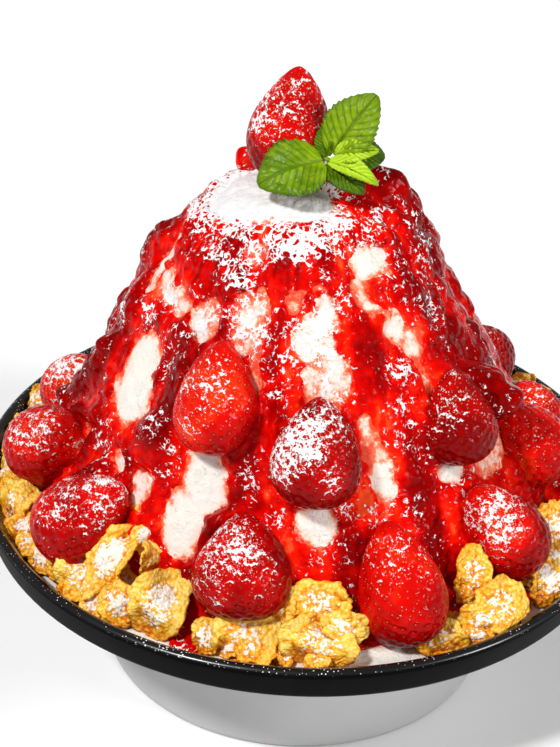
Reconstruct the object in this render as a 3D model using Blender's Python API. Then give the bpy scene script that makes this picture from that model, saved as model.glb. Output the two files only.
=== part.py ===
"""Strawberry shaved-ice dessert in its bowl.

A tall mound of shaved milk ice fills a wide bowl. Strawberry sauce runs down the mound, whole
strawberries sit in it, cornflakes are heaped round its foot, and a mint sprig and one more
strawberry stand on its white cap. Metres, +Z up, the bowl's foot on z = 0, its axis on Z.
Azimuths are measured from the front (-Y), positive towards +X.
"""

import math

import bmesh
import bpy
from mathutils import Matrix, Vector, noise

MM = 0.001
GAP = 0.35 * MM
FLAT_ANGLE = math.radians(0.5)

# Driving dimensions of the bowl.
RIM_RADIUS = 110 * MM
RIM_HEIGHT = 68 * MM
BAND_HEIGHT = 11.6 * MM
FOOT_RADIUS = 66 * MM
FOOT_RECESS = 3 * MM
BOWL_SEGMENTS = 40

# Driving dimensions of the ice.
ICE_LEVEL = 60 * MM
MOUND_FOOT_RADIUS = 86.5 * MM
MOUND_TOP = 179 * MM
MOUND_LEAN = -0.055
ICE_SEGMENTS = 28

# The sauce: a coat of this thickness, swollen where it runs and absent where ice shows.
COAT = 2.0 * MM
BARE_DEPTH = 2.2 * MM
CAP_EDGE = 174 * MM
SAUCE_SEGMENTS = 40
SAUCE_RINGS = 13
SAUCE_PHASE = 0.37
SAUCE_TOP = MOUND_TOP - 4 * MM
SAUCE_LOW = ICE_LEVEL + 5 * MM
SKIRT_RADIUS = MOUND_FOOT_RADIUS + 2.5 * MM
SKIRT_STEP = 6 * MM
SKIRT_HEIGHTS = (ICE_LEVEL + 2.6 * MM, ICE_LEVEL - 4 * MM)
POOL_STRETCH = 1.6

# Materials: colour, roughness, metallic.
GLAZE_BLACK = ("black_glaze", (0.012, 0.012, 0.013), 0.15, 0.0)
MILK_ICE = ("milk_ice", (0.90, 0.86, 0.80), 0.75, 0.0)
SAUCE_RED = ("strawberry_sauce", (0.55, 0.008, 0.006), 0.12, 0.0)
BERRY_RED = ("strawberry", (0.62, 0.012, 0.010), 0.30, 0.0)
FLAKE_GOLD = ("cornflake", (0.86, 0.50, 0.08), 0.65, 0.0)
MINT_GREEN = ("mint", (0.16, 0.36, 0.02), 0.45, 0.0)

# Strawberries on the mound: azimuth, height of the centre, length, width, spin of the tip away
# from straight uphill, how far the centre stands off the ice, and the lean of the tip outwards.
BERRIES = {
    "strawberry_mid_left": (-24.5, 128.5, 36, 27, -4, 5.0, 4),
    "strawberry_centre": (6, 117, 35, 29, 2, 6.0, 6),
    "strawberry_mid_right": (52, 116.5, 31, 26, 14, 4.5, 4),
    "strawberry_low_left": (-52.5, 79, 38, 30, 34, 6.5, 0),
    "strawberry_left": (-80, 82, 34, 28, 30, 6.0, 0),
    "strawberry_low_centre": (-12, 83.5, 34, 30, -3, 5.0, 2),
    "strawberry_low_right": (22, 78.5, 41, 27, -6, 7.0, 2),
    "strawberry_right": (51.5, 82, 37, 28, -24, 6.0, 0),
    "strawberry_far_right": (80, 92, 32, 28, -18, 4.0, 0),
    "strawberry_rear_right_small": (98, 88, 26, 22, -12, 4.0, 0),
    "strawberry_rear_right": (121, 94, 28, 23, -14, 1.0, 4),
    "strawberry_rear_left_small": (-104, 85, 29, 23, 22, 4.0, 0),
    "strawberry_back_a": (139, 78, 33, 27, 8, 5.5, 4),
    "strawberry_back_b": (150, 128, 32, 27, -10, 5.0, 4),
    "strawberry_back_c": (165, 84, 36, 28, 6, 6.0, 0),
    "strawberry_back_d": (-168, 112, 33, 28, 4, 5.5, 4),
    "strawberry_back_e": (-150, 80, 35, 27, -12, 6.0, 0),
    "strawberry_back_f": (-138, 112, 32, 26, 8, 4.0, 4),
}
CROWN_BERRY = ("strawberry_top", 37, 26.5)
CROWN_PLACE = Vector((-8.5, 7, 196)) * MM
CROWN_TILT = (math.radians(-8), math.radians(5))

# Bare patches, where the ice shows: azimuth, top, bottom, half width.
BARE_PATCHES = [
    (-58, 137, 111, 8), (-25, 114, 82, 8.5), (-15.5, 163, 140, 7), (12, 160, 132, 9),
    (41, 169, 156, 5.5), (44, 151, 143, 4), (22, 126, 97, 6), (5, 105, 90, 9),
    (46, 110, 96, 7), (-57, 154, 143, 6), (-38, 159, 145, 6), (-77, 157, 143, 4),
    (-71, 94, 80, 6), (-42, 101, 82, 8), (63, 106, 90, 7),
    (98, 143, 118, 7), (112, 168, 152, 6), (128, 138, 118, 6), (140, 106, 84, 8),
    (168, 158, 136, 8), (176, 96, 78, 7), (-168, 146, 128, 6), (-148, 122, 98, 8),
    (-140, 162, 146, 7), (-112, 142, 118, 8), (-122, 96, 80, 6),
]
# Thick runs: azimuth and height where each starts and ends, half width, extra thickness.
RUNS = [
    (-26, 154, -39, 103, 6.5, 4.5), (-6, 166, -12, 98, 8, 1.8), (26, 158, 17, 88, 6, 1.6),
    (33, 150, 36, 72, 8, 2.0), (60, 160, 70, 80, 8, 2.2), (-48, 160, -66, 96, 6, 2.0),
    (-88, 160, -92, 80, 8, 2.2), (90, 150, 88, 92, 7, 2.0), (118, 158, 122, 78, 8, 2.2),
    (150, 164, 146, 76, 7, 2.2), (180, 150, 166, 78, 7, 2.0), (-158, 160, -164, 72, 8, 2.4),
    (-130, 150, -136, 74, 7, 2.2), (-100, 156, -108, 84, 7, 2.0),
]
# Lobes, thick round swellings: azimuth, height, radius, extra thickness.
LOBES = [
    (-73, 161, 8, 3.2), (-72, 149, 7, 3), (-70, 136, 9.5, 2.5), (88, 171, 8.5, 4.5),
    (79, 162, 8.5, 4), (74, 149, 9, 2), (76, 136, 7, 2.6), (77, 123, 9.5, 2.4),
    (-38.5, 108, 8.5, 3.2), (-100, 160, 8, 4), (-125, 136, 8, 3.5), (112, 140, 8, 2.5),
    (135, 168, 8, 4), (164, 170, 8, 4), (-160, 170, 8, 4),
]
# Where sauce runs on past the mound's foot to the rim: azimuth and half angle.
POOLS = [(-20, 7), (49, 5), (88, 7), (137, 7), (-166, 8), (-116, 7)]

# Cornflake heaps: azimuths from and to, middle radius, half width, half height.
FLAKE_HEAPS = {
    "cornflakes_left": (-103, -67, 95, 7.0, 8.5),
    "cornflakes_front_left": (-61, -27, 90, 12.0, 14.0),
    "cornflakes_front": (-18, 12, 92, 9.0, 11.0),
    "cornflakes_front_right": (25, 46, 91, 10.0, 12.0),
    "cornflakes_right": (56, 80, 94, 8.5, 11.0),
    "cornflakes_back_right": (98, 128, 94, 7.5, 9.0),
    "cornflakes_back": (146, 180, 93, 8.5, 9.0),
    "cornflakes_back_left": (-151, -121, 94, 7.5, 9.0),
}
HEAP_MIDDLE_HEIGHT = 66 * MM

# Mint leaves: base, tip, full width, and the side that the leaf's face turns to, in mm.
MINT_NODE = Vector((5.5, -6, 190))
MINT_LEAVES = [
    ((4, -7, 190), (-19, -12, 185.5), 20, (-0.15, -0.75, 0.65)),
    ((6, -5, 191), (18, 1, 212), 15, (-0.45, -0.80, 0.30)),
    ((7, -6, 190), (19, -8, 197), 9, (0.05, -0.75, 0.65)),
    ((7, -7, 189), (22, -11, 186), 11, (0.15, -0.70, 0.70)),
    ((7, -3, 190), (20, 5, 192), 10, (0.30, -0.50, 0.80)),
]
LEAF_THICKNESS = 0.9
STEM_RADIUS = 1.1 * MM
STEM_FOOT = Vector((8, -3, 178.5))


# ---------------------------------------------------------------- curves and outlines

def smooth_curve(points, steps):
    """Catmull-Rom points through the given ones, this many steps for each span."""
    padded = [points[0]] + list(points) + [points[-1]]
    curve = []
    for i in range(1, len(padded) - 2):
        a, b, c, d = (Vector(p) for p in padded[i - 1:i + 3])
        for k in range(steps):
            t = k / steps
            curve.append(0.5 * (2 * b + (c - a) * t + (2 * a - 5 * b + 4 * c - d) * t ** 2
                                + (3 * b - a - 3 * c + d) * t ** 3))
    curve.append(Vector(points[-1]))
    return curve


def mound_outline():
    """(radius, height) from the mound's top, down its side, and out over the level ice."""
    top, foot, level = MOUND_TOP, MOUND_FOOT_RADIUS, ICE_LEVEL
    return smooth_curve([
        (0.0, top), (12 * MM, top - 1 * MM), (23.5 * MM, top - 5.5 * MM),
        (33.5 * MM, top - 14.5 * MM), (45 * MM, top - 32 * MM), (55.5 * MM, top - 51 * MM),
        (67.5 * MM, top - 75 * MM), (79 * MM, top - 99 * MM), (foot, level + 2.5 * MM),
    ], 1)


def bowl_inside():
    """(radius, height) down the bowl's inner wall to the middle of its floor."""
    return [
        (104.5 * MM, 65 * MM), (101 * MM, 59.5 * MM), (90 * MM, 51.5 * MM),
        (78 * MM, 44.5 * MM), (66 * MM, 33 * MM), (58 * MM, 18 * MM), (49 * MM, 10.5 * MM),
        (0.0, 9 * MM),
    ]


OUTLINE = mound_outline()


def outline_at(height):
    """Radius of the mound and the outward, upward slope normal at this height."""
    for upper, lower in zip(OUTLINE, OUTLINE[1:]):
        if lower.y <= height <= upper.y:
            break
    run, drop = lower.x - upper.x, upper.y - lower.y
    share = (upper.y - height) / drop
    return upper.x + run * share, Vector((drop, run)).normalized()


def azimuth_direction(azimuth):
    angle = math.radians(azimuth)
    return Vector((math.sin(angle), -math.cos(angle), 0))


def lean_at(height):
    """How far the mound's middle has moved sideways at this height."""
    return Vector((MOUND_LEAN * max(0.0, height - ICE_LEVEL), 0, 0))


def on_mound(azimuth, height, lift=0.0):
    """A point this far off the ice, measured square to its slope."""
    radius, slope = outline_at(height)
    out = azimuth_direction(azimuth)
    return (lean_at(height) + out * (radius + lift * slope.x)
            + Vector((0, 0, height + lift * slope.y)))


# ---------------------------------------------------------------- objects and tools

def material(finish):
    name, colour, roughness, metallic = finish
    made = bpy.data.materials.get(name)
    if made is None:
        made = bpy.data.materials.new(name)
        made.use_nodes = True
        shader = made.node_tree.nodes["Principled BSDF"]
        shader.inputs["Base Color"].default_value = (*colour, 1)
        shader.inputs["Roughness"].default_value = roughness
        shader.inputs["Metallic"].default_value = metallic
    return made


def solid(name, shape, finish=None):
    """A new object from a bmesh, in triangles that face outwards."""
    bmesh.ops.triangulate(shape, faces=shape.faces)
    bmesh.ops.recalc_face_normals(shape, faces=shape.faces)
    mesh = bpy.data.meshes.new(name)
    shape.to_mesh(mesh)
    shape.free()
    made = bpy.data.objects.new(name, mesh)
    bpy.context.scene.collection.objects.link(made)
    if finish:
        mesh.materials.append(material(finish))
        mesh.shade_smooth()
        mesh.set_sharp_from_angle(angle=math.radians(40))
    return made


def turned(profile, segments):
    """A bmesh turned about Z from a profile that starts and ends on the axis."""
    shape = bmesh.new()
    line = [shape.verts.new((0, -r, z)) for r, z in profile]
    edges = [shape.edges.new(pair) for pair in zip(line, line[1:])]
    bmesh.ops.spin(shape, geom=line + edges, cent=(0, 0, 0), axis=(0, 0, 1),
                   angle=2 * math.pi, steps=segments, use_merge=True)
    bmesh.ops.remove_doubles(shape, verts=shape.verts, dist=1e-6)
    return shape


def grown(source, distance):
    """A copy of an object with its surface moved outwards, to cut with."""
    shape = bmesh.new()
    shape.from_mesh(source.data)
    shape.transform(source.matrix_world)
    shape.normal_update()
    moves = [(v, v.normal * min(v.calc_shell_factor(), 2.0)) for v in shape.verts]
    for vert, move in moves:
        vert.co += move * distance
    return solid(source.name + "_cutter", shape)


def box_of(source):
    """Lowest and highest corner of an object."""
    places = [source.matrix_world @ vert.co for vert in source.data.vertices]
    return [[pick(p[axis] for p in places) for axis in range(3)] for pick in (min, max)]


def cut_back(targets, cutters):
    """Cuts every target by each cutter that comes near it."""
    for cutter in cutters:
        low, high = box_of(cutter)
        for target in targets:
            target_low, target_high = box_of(target)
            if all(low[i] < target_high[i] and target_low[i] < high[i] for i in range(3)):
                boolean(target, cutter, "DIFFERENCE")


def boolean(target, other, operation):
    """Applies one Boolean to the target's mesh."""
    modifier = target.modifiers.new("cut", "BOOLEAN")
    modifier.operation = operation
    modifier.object = other
    graph = bpy.context.evaluated_depsgraph_get()
    mesh = bpy.data.meshes.new_from_object(target.evaluated_get(graph))
    target.modifiers.clear()
    target.data = mesh


def keep_largest_body(target):
    """Drops the crumbs that a cut leaves apart from the main body."""
    shape = bmesh.new()
    shape.from_mesh(target.data)
    bmesh.ops.remove_doubles(shape, verts=shape.verts, dist=1e-6)
    unseen, bodies = set(shape.faces), []
    while unseen:
        queue = [unseen.pop()]
        body = []
        while queue:
            face = queue.pop()
            body.append(face)
            for edge in face.edges:
                for other in edge.link_faces:
                    if other in unseen:
                        unseen.remove(other)
                        queue.append(other)
        bodies.append(body)
    bodies.sort(key=lambda body: sum(face.calc_area() for face in body))
    for body in bodies[:-1]:
        bmesh.ops.delete(shape, geom=body, context="FACES")
    bmesh.ops.dissolve_limit(shape, angle_limit=FLAT_ANGLE, verts=shape.verts,
                             edges=shape.edges)
    bmesh.ops.triangulate(shape, faces=shape.faces)
    shape.to_mesh(target.data)
    shape.free()
    target.data.shade_smooth()
    target.data.set_sharp_from_angle(angle=math.radians(40))


# ---------------------------------------------------------------- the pieces

def make_bowl():
    band_foot = RIM_HEIGHT - BAND_HEIGHT
    outside = [
        (0.0, FOOT_RECESS), (58 * MM, FOOT_RECESS), (59.5 * MM, 0.0), (64.5 * MM, 0.0),
        (FOOT_RADIUS, 1.5 * MM), (66.5 * MM, 22 * MM), (69 * MM, 30 * MM),
        (78 * MM, 37.5 * MM), (90 * MM, 44.5 * MM), (101 * MM, band_foot - 4.5 * MM),
        (106 * MM, band_foot - 1 * MM), (107.7 * MM, band_foot + 1 * MM),
        (109.6 * MM, RIM_HEIGHT - 4 * MM),
        (RIM_RADIUS, RIM_HEIGHT - 2.2 * MM), (109 * MM, RIM_HEIGHT - 0.4 * MM),
        (107.6 * MM, RIM_HEIGHT), (106.2 * MM, RIM_HEIGHT - 0.6 * MM),
    ]
    return solid("bowl", turned(outside + bowl_inside(), BOWL_SEGMENTS), GLAZE_BLACK)


def make_ice():
    """The mound and the ice that fills the bowl under it, clear of the inner wall."""
    inset = 0.45 * MM
    fill = [(r - inset, z + inset) for r, z in bowl_inside()[1:-1]]
    brim = (100.8 * MM, ICE_LEVEL)
    profile = [tuple(p) for p in OUTLINE] + [(93 * MM, ICE_LEVEL + 1 * MM), brim] + fill
    profile.append((0.0, 9.6 * MM))
    shape = turned(profile, ICE_SEGMENTS)
    for vert in shape.verts:
        vert.co += lean_at(vert.co.z)
    return solid("milk_ice", shape, MILK_ICE)


def across(azimuth, height, middle):
    """Distance round the mound from an azimuth, in metres."""
    turn = (azimuth - middle + 180) % 360 - 180
    return math.radians(turn) * max(outline_at(height)[0], 8 * MM)


def bare_share(azimuth, height):
    """1 where the ice shows, falling to 0 in the sauce."""
    share = 0.0
    for middle, top, bottom, half_width in BARE_PATCHES:
        up = (height / MM - (top + bottom) / 2) / ((top - bottom) / 2)
        side = across(azimuth, height, middle) / (half_width * MM)
        share = max(share, 1.35 - side ** 2 - up ** 2)
    cap = (height - CAP_EDGE) / (2.5 * MM) + 0.5
    return min(1.0, max(share, cap, 0.0))


def sauce_lift(azimuth, height):
    """How far the sauce's surface stands off the ice. Below zero there is none."""
    swell = 0.0
    for az_top, top, az_bottom, bottom, half_width, extra in RUNS:
        share = (top - height / MM) / (top - bottom)
        middle = az_top + (az_bottom - az_top) * min(max(share, 0.0), 1.0)
        past = max(0.0, -share, share - 1) * (top - bottom) / half_width
        side = across(azimuth, height, middle) / (half_width * MM)
        swell += extra * math.exp(-side ** 2 - past ** 2)
    for middle, up, radius, extra in LOBES:
        side = across(azimuth, height, middle) / MM
        apart = (side ** 2 + (height / MM - up) ** 2) / radius ** 2
        swell += extra * max(0.0, 1 - 0.75 * apart)
    bare = bare_share(azimuth, height)
    return (COAT + swell * MM) * (1 - bare) - BARE_DEPTH * bare


def make_sauce():
    """A thick coat that runs down the mound, open where the ice shows."""
    shape = bmesh.new()
    rings = []
    for i in range(SAUCE_RINGS):
        height = SAUCE_TOP + (SAUCE_LOW - SAUCE_TOP) * i / (SAUCE_RINGS - 1)
        ring = []
        for k in range(SAUCE_SEGMENTS):
            azimuth = 360 * (k + SAUCE_PHASE) / SAUCE_SEGMENTS
            ring.append(shape.verts.new(on_mound(azimuth, height, sauce_lift(azimuth, height))))
        rings.append(ring)
    for height in SKIRT_HEIGHTS:
        ring = []
        for k in range(SAUCE_SEGMENTS):
            azimuth = 360 * (k + SAUCE_PHASE) / SAUCE_SEGMENTS
            reach = max(1 - abs((azimuth - az + 180) % 360 - 180) / (2 * half)
                        for az, half in POOLS)
            radius = SKIRT_RADIUS + SKIRT_STEP * max(0.0, reach) * POOL_STRETCH
            ring.append(shape.verts.new(azimuth_direction(azimuth) * radius
                                        + Vector((0, 0, height))))
        rings.append(ring)
    for upper, lower in zip(rings, rings[1:]):
        for k in range(SAUCE_SEGMENTS):
            nearer, further = k, (k + 1) % SAUCE_SEGMENTS
            shape.faces.new((upper[nearer], upper[further], lower[further], lower[nearer]))
    shape.faces.new(rings[0])
    shape.faces.new(rings[-1])
    return solid("strawberry_sauce", shape, SAUCE_RED)


def berry_shape(length, width):
    """A strawberry standing on its broad hulled end, tip up, centred on its middle."""
    rings = 5
    profile = [(0.0, -length / 2)]
    for i in range(1, rings):
        t = i / rings
        radius = width / 2 * math.sin(math.pi * t ** 0.72) ** 0.82
        profile.append((radius, length * (t ** 1.12 - 0.5)))
    profile.append((0.0, length / 2))
    return turned(profile, 9)


def make_berry(name, length, width, place, turn):
    shape = berry_shape(length * MM, width * MM)
    made = solid(name, shape, BERRY_RED)
    made.matrix_world = Matrix.Translation(place) @ turn.to_4x4()
    return made


def mound_berry(name, azimuth, height, length, width, spin, stand, lean):
    """A strawberry lying on the mound's slope, its tip uphill, turned by spin."""
    slope = outline_at(height * MM)[1]
    out = azimuth_direction(azimuth)
    normal = (out * slope.x + Vector((0, 0, slope.y))).normalized()
    uphill = (Vector((0, 0, slope.x)) - out * slope.y).normalized()
    uphill.rotate(Matrix.Rotation(math.radians(-spin), 3, normal))
    side = uphill.cross(normal)
    uphill.rotate(Matrix.Rotation(math.radians(lean), 3, side))
    normal = side.cross(uphill)
    turn = Matrix((side, -normal, uphill)).transposed()
    place = on_mound(azimuth, height * MM, stand * MM)
    return make_berry(name, length, width, place, turn)


def make_heap(name, az_from, az_to, radius, half_width, half_height):
    """A lumpy bank of cornflakes, on the level ice between the mound and the rim."""
    shape = bmesh.new()
    around, along = 8, max(4, round((az_to - az_from) / 6))
    rings = []
    for k in range(along + 1):
        share = k / along
        swell = max(0.3, math.sin(math.pi * (0.1 + 0.8 * share)) ** 0.5)
        out = azimuth_direction(az_from + (az_to - az_from) * share)
        ring = []
        for i in range(around):
            angle = 2 * math.pi * i / around
            place = (out * (radius + half_width * swell * math.cos(angle)) * MM
                     + Vector((0, 0, HEAP_MIDDLE_HEIGHT
                               + half_height * swell * math.sin(angle) * MM)))
            bump = noise.noise(place * 160) * 3.2 * MM
            middle = out * radius * MM + Vector((0, 0, HEAP_MIDDLE_HEIGHT))
            ring.append(shape.verts.new(place + (place - middle).normalized() * bump))
        rings.append(ring)
    for first, second in zip(rings, rings[1:]):
        for i in range(around):
            following = (i + 1) % around
            shape.faces.new((first[i], first[following], second[following], second[i]))
    shape.faces.new(rings[0])
    shape.faces.new(rings[-1])
    return solid(name, shape, FLAKE_GOLD)


def leaf_shape(base, tip, width, facing):
    """One mint leaf: a pointed oval, folded a little along its middle."""
    shape = bmesh.new()
    base, tip = Vector(base), Vector(tip)
    along = tip - base
    face = Vector(facing).normalized()
    side = along.cross(face).normalized()
    face = side.cross(along).normalized()
    steps = 5
    layers = []
    for lift in (-LEAF_THICKNESS / 2, LEAF_THICKNESS / 2):
        rows = []
        for i in range(steps + 1):
            t = i / steps
            half = width / 2 * math.sin(math.pi * (0.08 + 0.88 * t) ** 0.8)
            arch = face * (0.10 * along.length * math.sin(math.pi * t))
            middle = base + along * t + arch
            rows.append([shape.verts.new((middle + side * half * s + face * (lift + f)) * MM)
                         for s, f in ((-1, 0.8), (0, 0.0), (1, 0.8))])
        layers.append(rows)
    under, upper = layers
    for rows, flip in ((under, True), (upper, False)):
        for near, far in zip(rows, rows[1:]):
            for k in range(2):
                corners = [near[k], near[k + 1], far[k + 1], far[k]]
                shape.faces.new(corners[::-1] if flip else corners)
    for i in range(steps):
        for k in (0, 2):
            shape.faces.new((under[i][k], under[i + 1][k], upper[i + 1][k], upper[i][k]))
    for row_under, row_upper in ((under[0], upper[0]), (under[-1], upper[-1])):
        for k in range(2):
            shape.faces.new((row_under[k], row_under[k + 1], row_upper[k + 1], row_upper[k]))
    return shape


def make_mint():
    """The sprig: leaves that all grow from one short stem."""
    node = MINT_NODE * MM
    foot = STEM_FOOT * MM
    shape = bmesh.new()
    bmesh.ops.create_cone(shape, cap_ends=True, segments=8, radius1=STEM_RADIUS,
                          radius2=STEM_RADIUS, depth=(node - foot).length + 3 * MM)
    turn = (node - foot).to_track_quat("Z", "Y").to_matrix().to_4x4()
    shape.transform(Matrix.Translation((node + foot) / 2) @ turn)
    sprig = solid("mint_sprig", shape, MINT_GREEN)
    knot = bmesh.new()
    bmesh.ops.create_icosphere(knot, subdivisions=1, radius=2.6 * MM,
                               matrix=Matrix.Translation(node))
    for i, addition in enumerate([knot] + [leaf_shape(*leaf) for leaf in MINT_LEAVES]):
        part = solid(f"leaf_{i}", addition)
        boolean(sprig, part, "UNION")
        bpy.data.objects.remove(part)
    return sprig


def clear_scene():
    for each in list(bpy.data.objects):
        bpy.data.objects.remove(each)


def main():
    clear_scene()
    bowl = make_bowl()
    ice = make_ice()
    sauce = make_sauce()
    berries = [mound_berry(name, *facts) for name, facts in BERRIES.items()]
    crown_turn = (Matrix.Rotation(CROWN_TILT[0], 3, "X") @ Matrix.Rotation(CROWN_TILT[1], 3, "Y"))
    berries.append(make_berry(*CROWN_BERRY, CROWN_PLACE, crown_turn))
    heaps = [make_heap(name, *facts) for name, facts in FLAKE_HEAPS.items()]
    mint = make_mint()
    bpy.context.view_layer.update()

    round_bowl, round_ice = grown(bowl, GAP), grown(ice, GAP)
    round_berries = [grown(berry, GAP) for berry in berries]
    round_heaps = [grown(heap, GAP) for heap in heaps]
    cut_back([sauce], [round_ice, *round_berries, *round_heaps])
    cut_back([ice], round_berries)
    cut_back([mint], [round_ice, *round_berries])
    cut_back(heaps, [round_ice, round_bowl, *round_berries])
    for cutter in (round_bowl, round_ice, *round_berries, *round_heaps):
        bpy.data.objects.remove(cutter)
    for each in (ice, sauce, mint, *heaps):
        keep_largest_body(each)


main()
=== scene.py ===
"""The looks of a strawberry bingsu in its bowl: every surface's finish, and the fine shapes.

Lengths inside the functions are in millimetres and azimuths in degrees from the front (-Y),
positive towards +X, until place_mesh() turns them into the frame's metres.
"""

import math

import bpy
import numpy as np
from mathutils import Matrix, Vector, kdtree


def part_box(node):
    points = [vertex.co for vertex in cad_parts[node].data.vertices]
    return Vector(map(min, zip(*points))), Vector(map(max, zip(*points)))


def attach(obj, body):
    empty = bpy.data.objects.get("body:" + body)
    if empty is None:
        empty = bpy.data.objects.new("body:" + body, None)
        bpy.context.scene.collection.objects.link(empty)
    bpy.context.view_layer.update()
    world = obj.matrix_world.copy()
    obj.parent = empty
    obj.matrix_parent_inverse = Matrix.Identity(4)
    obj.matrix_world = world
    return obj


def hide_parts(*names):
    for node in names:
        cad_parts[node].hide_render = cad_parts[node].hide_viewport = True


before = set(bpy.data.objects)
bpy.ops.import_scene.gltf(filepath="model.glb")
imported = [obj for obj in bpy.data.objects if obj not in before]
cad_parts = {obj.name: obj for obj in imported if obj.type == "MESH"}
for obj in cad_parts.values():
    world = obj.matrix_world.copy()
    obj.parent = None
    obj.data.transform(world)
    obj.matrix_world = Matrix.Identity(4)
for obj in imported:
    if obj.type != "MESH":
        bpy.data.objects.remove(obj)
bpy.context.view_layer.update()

MM = 0.001
RIM_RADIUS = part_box("bowl")[1][0] / MM
RIM_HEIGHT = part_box("bowl")[1][2] / MM
BAND_HEIGHT = 11.6
ICE_LEVEL = 60.0
MOUND_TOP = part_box("milk_ice")[1][2] / MM
MOUND_FOOT = 86.5
BRIM_RADIUS = 101.3
# How far the mound leans to +X for each millimetre of its height.
MOUND_LEAN = -0.055
# A turn near the mound's top counts as if it were at least this far out.
LEAST_RADIUS = 6
# The sauce's streams are drawn on a cylinder of this radius, with their run cut to this share.
STREAM_RADIUS = 62.0
STREAM_SHARE = 0.25

# How finely each shape is divided: round or across, then along.
BOWL_GRID = (144, 150)
ICE_GRID = (300, 190)
SAUCE_GRID = (420, 232)
BERRY_GRID = (150, 104)
DROP_GRID = (40, 24)
FLAKE_GRID = (34, 34)
LEAF_GRID = (44, 66)
STEM_GRID = (12, 16)


# ---------------------------------------------------------------- noise and small maths

class Grain:
    """Smooth, repeatable noise from -1 to 1, read from a cube of random numbers."""

    SIDE = 48

    def __init__(self, seed):
        self.cube = np.random.default_rng(seed).uniform(-1, 1, (self.SIDE,) * 3)

    def __call__(self, places, size):
        """Noise at these places, with lumps about this size across."""
        scaled = np.asarray(places) / size
        cell = np.floor(scaled).astype(int)
        share = scaled - cell
        share = share * share * (3 - 2 * share)
        total = np.zeros(len(scaled))
        for corner in np.ndindex(2, 2, 2):
            weight = np.prod(np.where(corner, share, 1 - share), axis=1)
            index = (cell + corner) % self.SIDE
            total += weight * self.cube[index[:, 0], index[:, 1], index[:, 2]]
        return total


def step_between(low, high, values):
    """0 below low, 1 above high, and a smooth step between."""
    share = np.clip((np.asarray(values) - low) / (high - low), 0, 1)
    return share * share * (3 - 2 * share)


def turn_between(azimuth, middle):
    """Signed turn from one azimuth to another, in degrees."""
    return (np.asarray(azimuth) - middle + 180) % 360 - 180


def round_to(azimuth, middle, radius):
    """Millimetres round the mound from a middle azimuth."""
    return np.radians(turn_between(azimuth, middle)) * np.maximum(radius, LEAST_RADIUS)


def directions(azimuth):
    """Unit vectors outwards at these azimuths."""
    angle = np.radians(azimuth)
    return np.stack([np.sin(angle), -np.cos(angle), np.zeros_like(angle)], axis=-1)


# ---------------------------------------------------------------- the mound's outline

def mound_outline():
    """Radius and height from the mound's top, down its slope and out to the bowl's wall."""
    top = MOUND_TOP
    points = [
        (0, top), (12, top - 1), (23.5, top - 5.5), (33.5, top - 14.5), (45, top - 32),
        (55.5, top - 51), (67.5, top - 75), (79, top - 99), (MOUND_FOOT, ICE_LEVEL + 2.5),
        (93, ICE_LEVEL + 0.9), (BRIM_RADIUS, ICE_LEVEL),
    ]
    padded = [points[0]] + points + [points[-1]]
    curve = []
    for i in range(1, len(points)):
        a, b, c, d = (np.array(p, float) for p in padded[i - 1:i + 3])
        for t in np.linspace(0, 1, 12, endpoint=False):
            curve.append(0.5 * (2 * b + (c - a) * t + (2 * a - 5 * b + 4 * c - d) * t ** 2
                                + (3 * b - a - 3 * c + d) * t ** 3))
    curve.append(np.array(points[-1], float))
    return np.array(curve)


OUTLINE = mound_outline()
OUTLINE_RUN = np.concatenate([[0], np.cumsum(np.hypot(*np.diff(OUTLINE, axis=0).T))])
# Down the mound a level is a height. Past its foot it goes on falling, a millimetre for each
# millimetre outwards, so that a place on the level ice has one of its own.
OUTLINE_LEVEL = np.where(OUTLINE[:, 0] > MOUND_FOOT, ICE_LEVEL + 2.5 + MOUND_FOOT - OUTLINE[:, 0],
                         OUTLINE[:, 1])


# The slope is measured from this far behind a place to this far ahead of it.
SLOPE_REACH = 1.5


def outline_at(run):
    """Radius and height at a run down the outline."""
    return [np.interp(run, OUTLINE_RUN, column) for column in OUTLINE.T]


def slope_at(run):
    """Radius, height, outward normal's two parts and level, at a run down the outline."""
    radius, height = outline_at(run)
    ahead = outline_at(np.clip(run + SLOPE_REACH, 0, OUTLINE_RUN[-1]))
    behind = outline_at(np.clip(run - SLOPE_REACH, 0, OUTLINE_RUN[-1]))
    dr, dz = (a - b for a, b in zip(ahead, behind))
    length = np.hypot(dr, dz)
    return radius, height, -dz / length, dr / length, np.interp(run, OUTLINE_RUN, OUTLINE_LEVEL)


def run_at_level(level):
    return np.interp(-np.asarray(level, float), -OUTLINE_LEVEL, OUTLINE_RUN)


def on_mound(azimuth, run, lift=0.0):
    """Points this far off the ice, square to its slope."""
    radius, height, out, up, _ = slope_at(run)
    places = directions(azimuth) * (radius + lift * out)[:, None]
    places[:, 2] = height + lift * up
    places[:, 0] += MOUND_LEAN * np.clip(height - ICE_LEVEL, 0, None)
    return places


def down_flow(azimuth, run):
    """Places in which the sauce's streams are as long as they are wide."""
    places = directions(azimuth) * STREAM_RADIUS
    places[:, 2] = run * STREAM_SHARE
    return places


# ---------------------------------------------------------------- where ice and sauce lie

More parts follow.
